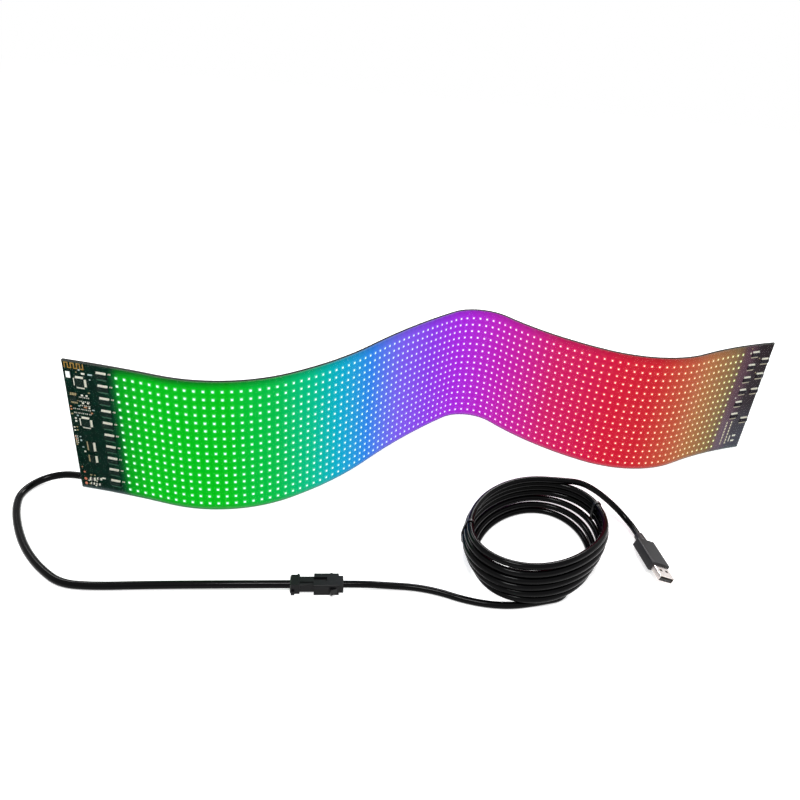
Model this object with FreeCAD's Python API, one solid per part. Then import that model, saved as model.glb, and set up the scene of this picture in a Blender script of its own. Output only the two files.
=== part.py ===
import FreeCAD, Part
import math
import os

# Flexible light-point display with its supply cord. Millimetres, +Z up.
# A thin printed circuit carries a grid of light-emitting packages and the chips that drive them.
# A rear film and a soft clear cover enclose it. The sheet stands on its long lower edge at Z = 0,
# bent into a wave, with the lit side towards -Y. The origin is the middle of the sheet's box.

V = FreeCAD.Vector

# Light grid
COLUMNS = 96
ROWS = 16
PITCH = 6.35
LEFT_MARGIN = 41.0
RIGHT_MARGIN = 35.75
LOWER_MARGIN = 6.65
UPPER_MARGIN = 8.1
LIGHT_SIDE = 2.4
LIGHT_RISE = 0.9
COLUMNS_PER_BLOCK = 16

# Layers of the sheet, from the rear to the front
FILM_THICKNESS = 0.8
BOARD_THICKNESS = 0.4
PART_SPACE = 1.5
COVER_THICKNESS = 0.8
BORDER_WIDTH = 0.7
BOARD_EDGE_GAP = 0.1
CORNER_RADIUS = 1.0
BOARD_CORNER = 0.4
SOLDER_LIFT = 0.03

# Wave in plan: length of each stretch and its bend radius, positive where it bends away
# from the viewer. The last stretch takes what is left of the sheet.
FIRST_HEADING = -6.3
WAVE = (
    (72.0, -688.0),
    (94.0, 104.0),
    (81.0, 258.0),
    (110.0, -573.0),
    (52.0, -32.0),
    (96.0, 229.0),
    (89.0, 88.0),
)
LAST_RADIUS = -352.0

# Chip packages: length along the lead rows, body width, span over the leads, height
NARROW_CHIP = (8.65, 3.9, 6.0, 1.15)
WIDE_CHIP = (5.2, 5.2, 7.9, 1.15)
SLIM_CHIP = (6.5, 4.4, 6.4, 1.0)
QUAD_CHIP = (7.0, 7.0, 9.0, 1.1)
BODY_DRAFT = 0.25
BODY_LIFT = 0.1
LEAD_THICKNESS = 0.2
FOOT_LENGTH = 0.7
ROW_END_INSET = 0.5

# Places on the board. Chips are placed from the left end of the sheet or from the light grid,
# and going up by the free space between one part's edge or leads and the next.
DRIVER_FROM_GRID = 11.7
DRIVER_COUNT = 10
DRIVER_STEP = 10.17
DRIVER_LOWEST = 9.25
SLIM_COLUMN = 13.2
QUAD_COLUMN = 12.0
MEMORY_COLUMN = 5.4
GATE_LOWEST = 25.35
SWITCH_GAP = 3.4
LOWER_QUAD_GAP = 11.5
RESISTOR_GAP = 2.8
MEMORY_GAP = 4.2
MEMORY_SIDE_GAP = 1.8
UPPER_QUAD_GAP = 7.0
RESISTOR_SIZE = (1.6, 0.8, 0.5)
RESISTOR_LINES = 5
RESISTOR_FULL_LINES = 2
RESISTOR_FIRST = 4.8
RESISTOR_STEP = 2.9
RESISTOR_LINE_STEP = 3.4
RESISTOR_COLUMN = 4
RESISTOR_EDGE = 2.8
RESISTOR_EDGE_STEP = 1.9
BYPASS_SIZE = (1.6, 0.9, 0.7)
BYPASS_OFFSET = (6.6, 2.9)
CRYSTAL_SIZE = (3.2, 5.0, 0.9)
CRYSTAL_COLUMN = 4.2
CRYSTAL_GAP = 2.3
FUSE_SIZE = (4.4, 2.6, 1.2)
DIODE_SIZE = (3.6, 1.8, 1.1)
FILTER_SIZE = (3.0, 1.6, 0.9)
INLET_START = 8.4
INLET_LOWEST = 4.8
INLET_GAP = 1.6
INLET_ROW_GAP = 2.1
DIODE_RISE = 1.2
TAIL_ROW_FROM_GRID = 16.4
TAIL_ROW_COUNT = 6
TAIL_ROW_STEP = 12.6
TAIL_ROW_LOWEST = 37.0
TAIL_EDGE_FROM_RIGHT = 5.6
TAIL_EDGE_HEIGHTS = (31.0, 61.7, 77.4, 92.2)
ANTENNA_EDGE = 1.0
ANTENNA_HEIGHT = 4.6
ANTENNA_LINE = 0.7
ANTENNA_STEP = 2.3
ANTENNA_FOLDS = 6
COPPER_THICKNESS = 0.05
SOLDER_SIDES = 8
LINK_PAD_COUNT = 8
LINK_PAD_STEP = 3.2
LINK_PAD_LOWEST = 7.6
LINK_PAD_SIZE = (1.0, 2.2, 0.12)
LINK_PAD_ROWS = (11.3, 17.0)

# Power lead and its anchor behind the lower left corner
LEAD_DIAMETER = 5.5
ANCHOR_START = 2.0
ANCHOR_LENGTH = 24.0
ANCHOR_HEIGHT = 8.0
ANCHOR_DEPTH = 7.4
ANCHOR_BOTTOM = 2.6
ANCHOR_TAPER = 1.6
LEAD_FIRST_RUN = 10.5
LEAD_LAST_RUN = 34.0
LEAD_POINTS = (
    (-302.5, -70.6, 5.6),
    (-312.5, -75.5, 4.2),
    (-319.0, -84.5, 3.2),
    (-320.8, -95.5, 2.8),
    (-317.0, -107.5, 2.8),
    (-310.8, -119.8, 2.8),
    (-302.8, -132.5, 2.8),
    (-293.2, -145.5, 2.8),
    (-281.8, -157.8, 2.8),
    (-268.5, -169.2, 2.8),
    (-251.5, -179.9, 2.8),
    (-231.0, -179.8, 2.8),
    (-197.0, -174.4, 2.9),
)

# Wire-to-wire connector, latched together. Its axis runs along its heading at this height.
JOIN_START = (-106.0, -163.5, 4.3)
JOIN_HEADING = 7.4
SOCKET_LENGTH = 24.0
SOCKET_WIDTH = 8.4
SOCKET_HEIGHT = 6.4
SOCKET_COLLAR = 6.4
COLLAR_STEP = 0.7
SHROUD_LENGTH = 19.5
SHROUD_WIDTH = 12.4
SHROUD_HEIGHT = 8.6
SHROUD_WALL_GAP = 0.2
NEST_DEPTH = 8.4
NEST_GAP = 0.3
LUG_LENGTH = 6.0
LUG_RISE = 2.6
TERMINAL_PITCH = 3.0
TERMINAL_LENGTH = 12.0
TERMINAL_INSET = 0.4
CRIMP_LENGTH = 3.0
PIN_ROOT = 6.0
TERMINAL_SIDE = 1.8
TERMINAL_GAP = 0.1
PIN_SIDE = 0.9
PIN_GAP = 0.1
PIN_REACH = 5.0

# Supply cord, its coil and ties
CORD_DIAMETER = 4.8
SUPPLY_FIRST_RUN = 14.0
SUPPLY_POINTS = (
    (-40.5, -155.0, 2.9),
    (-22.5, -153.9, 2.5),
    (-6.0, -156.4, 2.45),
    (8.0, -161.0, 2.45),
    (24.0, -163.6, 2.45),
    (41.0, -163.0, 2.45),
    (56.5, -158.6, 2.45),
    (70.0, -153.6, 2.45),
    (80.2, -148.6, 2.45),
    (85.1, -140.8, 2.45),
    (84.9, -131.6, 2.45),
    (79.8, -124.0, 2.45),
    (71.3, -120.4, 2.45),
    (56.0, -123.2, 2.45),
    (42.0, -126.3, 2.45),
    (29.5, -127.3, 2.45),
    (19.0, -123.5, 2.45),
    (11.9, -113.0, 2.45),
)
COIL_CENTRE = (61.5, -106.0)
COIL_SECTION = (
    (47.6, 0.0),
    (52.6, 0.0),
    (54.4, 15.0),
    (50.8, 35.4),
    (45.4, 35.4),
    (49.2, 16.0),
)
TIE_ANGLES = (27.0, 184.0)
TIE_WIDTH = 2.0
TIE_THICKNESS = 0.8
TIE_GAP = 0.15
TIE_LOW = 19.0
TAIL_LAST_RUN = 9.0
TAIL_POINTS = (
    (61.0, -57.5, 32.8),
    (77.0, -56.2, 32.4),
    (93.0, -53.4, 28.4),
    (107.0, -51.2, 22.8),
    (120.2, -52.3, 16.6),
    (132.2, -57.2, 10.9),
    (139.4, -64.2, 7.6),
)

# Rectangular supply plug at the end of the cord
PLUG_START = (145.2, -81.5, 6.5)
PLUG_HEADING = -80.5
PLUG_ROLL = -20.0
NECK_LENGTH = 9.5
NECK_RADIUS = 3.7
GRIP_LENGTH = 26.0
GRIP_WIDTH = 15.5
GRIP_HEIGHT = 7.6
GRIP_EDGE = 1.1
NECK_TAPER = 0.4
NECK_EDGE = 0.6
SHELL_LENGTH = 12.0
SHELL_WIDTH = 12.0
SHELL_HEIGHT = 4.5
SHELL_WALL = 0.35
SHELL_SEAT = 6.0
SEAT_GAP = 0.05
WINDOW_SIDE = 2.2
WINDOW_SPACING = 5.0
WINDOW_FROM_GRIP = 5.4
TONGUE_THICKNESS = 1.9
TONGUE_SIDE_GAP = 0.25
CONTACT_SIZE = (7.6, 1.0, 0.2)
CONTACT_PLACES = (-3.5, -1.0, 1.0, 3.5)

# Sizes that follow from the values above
PANEL_LENGTH = LEFT_MARGIN + (COLUMNS - 1) * PITCH + RIGHT_MARGIN
PANEL_HEIGHT = LOWER_MARGIN + (ROWS - 1) * PITCH + UPPER_MARGIN
BOARD_FRONT = BOARD_THICKNESS
COVER_REAR = BOARD_FRONT + PART_SPACE
COVER_FRONT = COVER_REAR + COVER_THICKNESS
BOARD_INSET = BORDER_WIDTH + BOARD_EDGE_GAP
GRID_RIGHT = LEFT_MARGIN + (COLUMNS - 1) * PITCH
GATE_HEIGHT = GATE_LOWEST + SLIM_CHIP[0] / 2
SWITCH_HEIGHT = GATE_HEIGHT + SLIM_CHIP[0] / 2 + SWITCH_GAP + NARROW_CHIP[0] / 2
LOWER_QUAD_HEIGHT = SWITCH_HEIGHT + NARROW_CHIP[0] / 2 + LOWER_QUAD_GAP + QUAD_CHIP[2] / 2
RESISTOR_LOWEST = LOWER_QUAD_HEIGHT + QUAD_CHIP[2] / 2 + RESISTOR_GAP + RESISTOR_SIZE[1] / 2
FULL_LINES_TOP = RESISTOR_LOWEST + (RESISTOR_FULL_LINES - 1) * RESISTOR_LINE_STEP + RESISTOR_SIZE[1] / 2
RESISTORS_TOP = RESISTOR_LOWEST + (RESISTOR_LINES - 1) * RESISTOR_LINE_STEP + RESISTOR_SIZE[1] / 2
MEMORY_HEIGHT = FULL_LINES_TOP + MEMORY_GAP + WIDE_CHIP[2] / 2
UPPER_QUAD_HEIGHT = RESISTORS_TOP + UPPER_QUAD_GAP + QUAD_CHIP[2] / 2
SHORT_LINE_FIRST = MEMORY_COLUMN + WIDE_CHIP[0] / 2 + MEMORY_SIDE_GAP + RESISTOR_SIZE[0] / 2
ANTENNA_BASE = PANEL_HEIGHT - BOARD_INSET - ANTENNA_EDGE - ANTENNA_HEIGHT
CRYSTAL_HEIGHT = ANTENNA_BASE - CRYSTAL_GAP - CRYSTAL_SIZE[1] / 2
MEMORY_PLACE = (MEMORY_COLUMN, MEMORY_HEIGHT)
SWITCH_PLACE = (SLIM_COLUMN, SWITCH_HEIGHT)
GATE_PLACE = (SLIM_COLUMN, GATE_HEIGHT)
CRYSTAL_PLACE = (CRYSTAL_COLUMN, CRYSTAL_HEIGHT)


def wave_stretches():
    """Start distance, start point, heading, length and radius of each stretch of the wave."""
    known = sum(length for length, radius in WAVE)
    stretches = []
    x = 0.0
    y = 0.0
    heading = math.radians(FIRST_HEADING)
    start = 0.0
    for length, radius in WAVE + ((PANEL_LENGTH - known, LAST_RADIUS),):
        stretches.append((start, x, y, heading, length, radius))
        turned = heading + length / radius
        x += radius * (math.sin(turned) - math.sin(heading))
        y -= radius * (math.cos(turned) - math.cos(heading))
        heading = turned
        start += length
    return stretches


STRETCHES = wave_stretches()


def raw_place(along):
    """Point and heading of the sheet's middle line at a distance from its left end."""
    chosen = STRETCHES[0]
    for stretch in STRETCHES:
        if along >= stretch[0]:
            chosen = stretch
    start, x, y, heading, length, radius = chosen
    turned = heading + (along - start) / radius
    return (
        x + radius * (math.sin(turned) - math.sin(heading)),
        y - radius * (math.cos(turned) - math.cos(heading)),
        turned,
    )


def sheet_middle():
    """Middle of the box that holds the front and rear faces of the sheet."""
    steps = 6800
    xs = []
    ys = []
    for index in range(steps + 1):
        x, y, turned = raw_place(PANEL_LENGTH * index / steps)
        for depth in (-FILM_THICKNESS, COVER_FRONT):
            xs.append(x + depth * math.sin(turned))
            ys.append(y - depth * math.cos(turned))
    return (min(xs) + max(xs)) / 2, (min(ys) + max(ys)) / 2


MIDDLE_X, MIDDLE_Y = sheet_middle()


def on_sheet(along, depth, height):
    """Point on the bent sheet: along it, in front of the board's rear face, and up."""
    x, y, turned = raw_place(along)
    return V(
        x + depth * math.sin(turned) - MIDDLE_X,
        y - depth * math.cos(turned) - MIDDLE_Y,
        height,
    )


def seated(shape, along, height, depth):
    """Copy of a shape drawn flat, moved so that it lies on the bent sheet."""
    x, y, turned = raw_place(along)
    spot = on_sheet(along, depth, height)
    cosine = math.cos(turned)
    sine = math.sin(turned)
    matrix = FreeCAD.Matrix(
        cosine, 0, sine, spot.x,
        sine, 0, -cosine, spot.y,
        0, 1, 0, spot.z,
        0, 0, 0, 1,
    )
    return shape.transformed(matrix, True)


def headed(shape, start, heading):
    """Copy of a shape drawn along +X, moved to a start point and turned about Z."""
    moved = shape.copy()
    moved.rotate(V(0, 0, 0), V(0, 0, 1), heading)
    moved.translate(V(*start))
    return moved


def box(length, width, height, low=(0, 0, 0)):
    return Part.makeBox(length, width, height, V(*low))


def centred_box(length, width, height, base=0.0):
    return box(length, width, height, (-length / 2, -width / 2, base))


def sheet_breaks(first, last):
    """Distances at which the outline of a layer changes its bend."""
    inner = [stretch[0] for stretch in STRETCHES if first < stretch[0] < last]
    return [first] + inner + [last]


def bent_slab(first, last, rear, front, low, high):
    """Bent slab between two distances along the sheet, two depths and two heights."""
    breaks = sheet_breaks(first, last)
    edges = []
    for begin, end in zip(breaks, breaks[1:]):
        middle = (begin + end) / 2
        for depth in (rear, front):
            arc = Part.Arc(
                on_sheet(begin, depth, low),
                on_sheet(middle, depth, low),
                on_sheet(end, depth, low),
            )
            edges.append(arc.toShape())
    for along in (first, last):
        edges.append(Part.makeLine(on_sheet(along, rear, low), on_sheet(along, front, low)))
    outline = Part.Wire(Part.__sortEdges__(edges))
    return Part.Face(outline).extrude(V(0, 0, high - low))


def layer(first, last, rear, front, low, high, radius):
    """Bent slab with its four corners rounded."""
    solid = bent_slab(first, last, rear, front, low, high)
    return round_corners(solid, first, last, low, high, radius)


def round_corners(solid, first, last, low, high, radius):
    """The four corners of a layer, cut to a radius seen from the front."""
    reach = radius + 1.0
    thick = 4 * COVER_FRONT
    for along, side in ((first + radius, -1), (last - radius, 1)):
        for height, way in ((low + radius, -1), (high - radius, 1)):
            corner = box(reach, reach, thick, (0, 0, -thick / 2))
            if side < 0:
                corner.translate(V(-reach, 0, 0))
            if way < 0:
                corner.translate(V(0, -reach, 0))
            round_part = Part.makeCylinder(radius, thick, V(0, 0, -thick / 2))
            solid = solid.cut(seated(corner.cut(round_part), along, height, 0.0))
    return solid


def rear_film():
    return layer(0, PANEL_LENGTH, -FILM_THICKNESS, 0, 0, PANEL_HEIGHT, CORNER_RADIUS)


def flex_board():
    inset = BOARD_INSET
    return layer(
        inset,
        PANEL_LENGTH - inset,
        0,
        BOARD_THICKNESS,
        inset,
        PANEL_HEIGHT - inset,
        BOARD_CORNER,
    )


def clear_cover():
    """Clear soft cover: a skin in front of the parts, and a border that sits on the film."""
    border = BORDER_WIDTH
    whole = layer(0, PANEL_LENGTH, 0, COVER_FRONT, 0, PANEL_HEIGHT, CORNER_RADIUS)
    pocket = layer(
        border,
        PANEL_LENGTH - border,
        -1,
        COVER_REAR,
        border,
        PANEL_HEIGHT - border,
        CORNER_RADIUS - border,
    )
    return whole.cut(pocket)


def light_package():
    """One light package, with its lens drawn as four facets that rise to a point."""
    half = LIGHT_SIDE / 2
    corners = [V(-half, -half, 0), V(half, -half, 0), V(half, half, 0), V(-half, half, 0)]
    tip = V(0, 0, LIGHT_RISE)
    faces = [Part.Face(Part.makePolygon(corners + [corners[0]]))]
    for near, far in zip(corners, corners[1:] + corners[:1]):
        faces.append(Part.Face(Part.makePolygon([near, far, tip, near])))
    return Part.Solid(Part.Shell(faces))


def light_block(first_column):
    """A block of whole columns of light packages."""
    package = light_package()
    if package.Volume < 0:
        package.reverse()
    last_column = min(first_column + COLUMNS_PER_BLOCK, COLUMNS)
    lights = []
    for column in range(first_column, last_column):
        along = LEFT_MARGIN + column * PITCH
        for row in range(ROWS):
            height = LOWER_MARGIN + row * PITCH
            lights.append(seated(package, along, height, BOARD_FRONT + SOLDER_LIFT))
    return Part.makeCompound(lights)


def chip_body(package):
    """Moulded chip body with drafted sides, its lead rows along X."""
    length, width, span, height = package
    draft = BODY_DRAFT
    lift = BODY_LIFT
    middle = lift + (height - lift) / 2
    section = [
        V(0, -width / 2 + draft, lift),
        V(0, width / 2 - draft, lift),
        V(0, width / 2, middle),
        V(0, width / 2 - draft, height),
        V(0, -width / 2 + draft, height),
        V(0, -width / 2, middle),
    ]
    face = Part.Face(Part.makePolygon(section + [section[0]]))
    solid = face.extrude(V(length, 0, 0))
    solid.translate(V(-length / 2, 0, 0))
    return solid


def lead_row(package):
    """One row of leads as a strip that slopes from the body's side down to flat feet."""
    length, width, span, height = package
    middle = BODY_LIFT + (height - BODY_LIFT) / 2
    out = span / 2
    knee = out - FOOT_LENGTH
    strip = LEAD_THICKNESS
    section = [
        V(0, width / 2, middle + strip / 2),
        V(0, knee, strip),
        V(0, out, strip),
        V(0, out, 0),
        V(0, knee - strip / 2, 0),
        V(0, width / 2, middle - strip / 2),
    ]
    face = Part.Face(Part.makePolygon(section + [section[0]]))
    solid = face.extrude(V(length - 2 * ROW_END_INSET, 0, 0))
    solid.translate(V(-length / 2 + ROW_END_INSET, 0, 0))
    return solid


def lead_rows(package, sides=2):
    """The rows of leads of one chip, on two sides or on four."""
    rows = []
    for index in range(sides):
        row = lead_row(package)
        row.rotate(V(0, 0, 0), V(0, 0, 1), index * 360.0 / sides)
        rows.append(row)
    return rows


def turned(shape, degrees):
    copy = shape.copy()
    copy.rotate(V(0, 0, 0), V(0, 0, 1), degrees)
    return copy


def driver_places():
    along = LEFT_MARGIN - DRIVER_FROM_GRID
    return [(along, DRIVER_LOWEST + DRIVER_STEP * index) for index in range(DRIVER_COUNT)]


def quad_places():
    return [(QUAD_COLUMN, height) for height in (LOWER_QUAD_HEIGHT, UPPER_QUAD_HEIGHT)]


def tail_row_places():
    along = GRID_RIGHT + TAIL_ROW_FROM_GRID
    return [(along, TAIL_ROW_LOWEST + TAIL_ROW_STEP * index) for index in range(TAIL_ROW_COUNT)]


def tail_edge_places():
    along = PANEL_LENGTH - TAIL_EDGE_FROM_RIGHT
    return [(along, height) for height in TAIL_EDGE_HEIGHTS]


def chips(package, places, turn=0.0):
    """Chip bodies of one package, at a list of places on the board."""
    body = turned(chip_body(package), turn)
    lift = BOARD_FRONT + SOLDER_LIFT
    return [seated(body, along, height, lift) for along, height in places]


def leads(package, places, turn=0.0, sides=2):
    """Lead rows of one package, at a list of places on the board."""
    lift = BOARD_FRONT + SOLDER_LIFT
    rows = []
    for row in lead_rows(package, sides):
        flat = turned(row, turn)
        rows += [seated(flat, along, height, lift) for along, height in places]
    return rows


def left_leads():
    rows = leads(NARROW_CHIP, driver_places())
    rows += leads(QUAD_CHIP, quad_places(), 0.0, 4)
    rows += leads(WIDE_CHIP, [MEMORY_PLACE])
    rows += leads(NARROW_CHIP, [SWITCH_PLACE], 90.0)
    rows += leads(SLIM_CHIP, [GATE_PLACE], 90.0)
    return rows


def tail_leads():
    return leads(NARROW_CHIP, tail_row_places()) + leads(NARROW_CHIP, tail_edge_places())


def small_parts(size, places):
    """Small rectangular parts, such as resistors and capacitors, at places on the board."""
    part = centred_box(*size)
    lift = BOARD_FRONT + SOLDER_LIFT
    return [seated(part, along, height, lift) for along, height in places]


def resistor_places():
    """Rows of small resistors and capacitors between the two square chips."""
    places = []
    for line in range(RESISTOR_LINES):
        full = line < RESISTOR_FULL_LINES
        first = RESISTOR_FIRST if full else SHORT_LINE_FIRST
        for step in range(5 if full else 3):
            along = first + RESISTOR_STEP * step
            places.append((along, RESISTOR_LOWEST + RESISTOR_LINE_STEP * line))
    for step in range(RESISTOR_COLUMN):
        places.append((RESISTOR_EDGE, SWITCH_HEIGHT + RESISTOR_EDGE_STEP * (step + 1)))
    return places


def bypass_places():
    """One capacitor beside each driver chip, towards the light grid."""
    aside, above = BYPASS_OFFSET
    return [(along + aside, height + above) for along, height in driver_places()]


def inlet_parts():
    """Fuse, diode and capacitors by the place where the lead is soldered."""
    fuse_along = INLET_START + FUSE_SIZE[0] / 2
    fuse_height = INLET_LOWEST + FILTER_SIZE[1] + INLET_ROW_GAP + FUSE_SIZE[1] / 2
    diode_along = INLET_START + FUSE_SIZE[0] + INLET_GAP + DIODE_SIZE[0] / 2
    filter_along = INLET_START + FILTER_SIZE[0] / 2
    filter_height = INLET_LOWEST + FILTER_SIZE[1] / 2
    next_filter = filter_along + FILTER_SIZE[0] + INLET_GAP
    parts = small_parts(FUSE_SIZE, [(fuse_along, fuse_height)])
    parts += small_parts(DIODE_SIZE, [(diode_along, fuse_height + DIODE_RISE)])
    parts += small_parts(FILTER_SIZE, [(filter_along, filter_height), (next_filter, filter_height)])
    return parts


def antenna_trace():
    """Folded copper strip of the radio antenna along the upper left corner."""
    left = BOARD_INSET + ANTENNA_EDGE
    base = ANTENNA_BASE
    line = ANTENNA_LINE
    front = BOARD_FRONT + COPPER_THICKNESS
    top = base + ANTENNA_HEIGHT
    strip = bent_slab(left, left + line, BOARD_FRONT, front, base, top)
    for index in range(ANTENNA_FOLDS):
        begin = left + index * ANTENNA_STEP
        end = begin + ANTENNA_STEP
        low = top - line if index % 2 == 0 else base
        across = bent_slab(begin, end + line, BOARD_FRONT, front, low, low + line)
        upright = bent_slab(end, end + line, BOARD_FRONT, front, base, top)
        strip = strip.fuse([across, upright])
    return strip.removeSplitter()


def link_pads():
    """Two rows of bare pads at the tail, where a second sheet could be joined."""
    places = []
    for inset in LINK_PAD_ROWS:
        for index in range(LINK_PAD_COUNT):
            height = LINK_PAD_LOWEST + LINK_PAD_STEP * index
            places.append((GRID_RIGHT + inset, height))
    return small_parts(LINK_PAD_SIZE, places)


def solder_joint(radius, rise):
    """Low mound of solder with sloped sides and a flat top."""
    rings = []
    for size, height in ((radius, 0.0), (radius * 0.45, rise)):
        corners = []
        for index in range(SOLDER_SIDES):
            angle = 2 * math.pi * index / SOLDER_SIDES
            corners.append(V(size * math.cos(angle), size * math.sin(angle), height))
        rings.append(Part.makePolygon(corners + [corners[0]]))
    return Part.makeLoft(rings, True, True)


def solder_joints():
    lift = BOARD_FRONT + SOLDER_LIFT
    main = solder_joint(1.25, 0.9)
    small = solder_joint(0.8, 0.6)
    along = ANCHOR_START + 2.2
    centre = ANCHOR_BOTTOM + ANCHOR_HEIGHT / 2
    places = ((main, centre - 2.1), (main, centre + 2.1), (small, centre + 8.4))
    return [seated(shape, along, height, lift) for shape, height in places]


def anchor_axis():
    """Depth and height at which the lead leaves its anchor."""
    return -FILM_THICKNESS - ANCHOR_DEPTH / 2, ANCHOR_BOTTOM + ANCHOR_HEIGHT / 2


def lead_anchor():
    """Moulded block behind the film that holds the lead, with a sloped far end."""
    rear = -FILM_THICKNESS - ANCHOR_DEPTH
    along = ANCHOR_START
    into_film = 0.7 * FILM_THICKNESS
    section = [
        V(0, 0, into_film),
        V(ANCHOR_LENGTH, 0, into_film),
        V(ANCHOR_LENGTH, 0, -ANCHOR_TAPER),
        V(ANCHOR_LENGTH - ANCHOR_HEIGHT, 0, -ANCHOR_DEPTH),
        V(0, 0, -ANCHOR_DEPTH),
    ]
    face = Part.Face(Part.makePolygon(section + [section[0]]))
    block = face.extrude(V(0, ANCHOR_HEIGHT, 0))
    long_edges = [
        edge
        for edge in block.Edges
        if abs(edge.BoundBox.ZMax + ANCHOR_DEPTH) < 1e-6 and edge.BoundBox.XLength > 1.0
    ]
    block = block.makeFillet(ANCHOR_TAPER, long_edges)
    placed_block = seated(block, along, ANCHOR_BOTTOM, -FILM_THICKNESS)
    return placed_block.cut(rear_film())


def lead_exit():
    depth, height = anchor_axis()
    return on_sheet(ANCHOR_START, depth, height)


def rounded_path(points):
    """Straight runs joined by tangent arcs, each as large as its two runs allow."""
    spots = [V(*point) for point in points]
    edges = []
    radii = []
    previous = spots[0]
    for before, corner, after in zip(spots, spots[1:], spots[2:]):
        back = before - corner
        ahead = after - corner
        room = 0.45 * min(back.Length, ahead.Length)
        back.normalize()
        ahead.normalize()
        half_turn = (math.pi - back.getAngle(ahead)) / 2
        radius = room / math.tan(half_turn)
        radii.append(radius)
        bisector = back + ahead
        bisector.normalize()
        centre = corner + bisector * (radius / math.cos(half_turn))
        begin = corner + back * room
        end = corner + ahead * room
        edges.append(Part.LineSegment(previous, begin).toShape())
        edges.append(Part.Arc(begin, centre - bisector * radius, end).toShape())
        previous = end
    edges.append(Part.LineSegment(previous, spots[-1]).toShape())
    return Part.Wire(edges), radii


def cord_tube(name, points, diameter):
    """Round tube along a rounded path, with its radii and volume printed."""
    path, radii = rounded_path(points)
    start = V(*points[0])
    ahead = V(*points[1]) - start
    ring = Part.Wire([Part.makeCircle(diameter / 2, start, ahead)])
    tube = path.makePipeShell([ring], True, True)
    expected = math.pi * diameter ** 2 / 4 * path.Length
    radii_text = ", ".join("%.0f" % radius for radius in radii)
    print("%s: length %.1f, radii %s" % (name, path.Length, radii_text))
    print("%s: volume %.1f, section times length %.1f" % (name, tube.Volume, expected))
    return tube


def lead_route():
    """Route of the power lead, from its anchor to the connector."""
    start = lead_exit()
    x, y, heading = raw_place(ANCHOR_START)
    run = LEAD_FIRST_RUN
    second = (start.x - run * math.cos(heading), start.y - run * math.sin(heading), start.z)
    last = ahead_of(JOIN_START, JOIN_HEADING, -LEAD_LAST_RUN)
    return [(start.x, start.y, start.z), second] + list(LEAD_POINTS) + [last, JOIN_START]


def ahead_of(point, heading, reach):
    """Point at a distance from another, level with it, in a heading given in degrees."""
    x, y, z = point
    angle = math.radians(heading)
    return (x + reach * math.cos(angle), y + reach * math.sin(angle), z)


def join_end():
    """Point at which the supply cord leaves the connector."""
    return ahead_of(JOIN_START, JOIN_HEADING, SOCKET_LENGTH + SHROUD_LENGTH - NEST_DEPTH)


def supply_route():
    """Route of the supply cord from the connector into the coil."""
    start = join_end()
    return [start, ahead_of(start, JOIN_HEADING, SUPPLY_FIRST_RUN)] + list(SUPPLY_POINTS)


def terminal_box(start, length, side, position):
    """Square bar along the connector's axis, at one of the two terminal positions."""
    centre = position * TERMINAL_PITCH / 2
    return box(length, side, side, (start, centre - side / 2, -side / 2))


def terminal_bores(start, length):
    """Two square bores that hold the terminals of one half of the connector."""
    side = TERMINAL_SIDE + 2 * TERMINAL_GAP
    return [terminal_box(start, length, side, position) for position in (-1, 1)]


def socket_housing():
    """Slim half of the connector: a collar with a ridge, and a nose that enters the other half."""
    wide = SOCKET_WIDTH + 2 * COLLAR_STEP
    tall = SOCKET_HEIGHT + 2 * COLLAR_STEP
    collar = box(SOCKET_COLLAR, wide, tall, (0, -wide / 2, -tall / 2))
    collar = collar.makeChamfer(0.8, [edge for edge in collar.Edges if edge.BoundBox.XMax < 1e-6])
    nose = box(SOCKET_LENGTH, SOCKET_WIDTH, SOCKET_HEIGHT, (0, -SOCKET_WIDTH / 2, -SOCKET_HEIGHT / 2))
    nose = nose.makeFillet(0.6, [edge for edge in nose.Edges if edge.BoundBox.XLength > 1.0])
    ridge_wide = wide + 0.8
    ridge = box(1.2, ridge_wide, 2.4, (SOCKET_COLLAR - 1.6, -ridge_wide / 2, tall / 2 - 1.9))
    latch = box(9.0, 3.2, 0.5, (SOCKET_COLLAR, -1.6, SOCKET_HEIGHT / 2))
    foot = box(2.2, 2.4, 3.0, (0.8, -wide / 2 - 1.2, -tall / 2))
    body = collar.fuse([nose, ridge, latch, foot]).removeSplitter()
    for bore in terminal_bores(4.0, SOCKET_LENGTH - 4.0):
        body = body.cut(bore)
    return body


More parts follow.
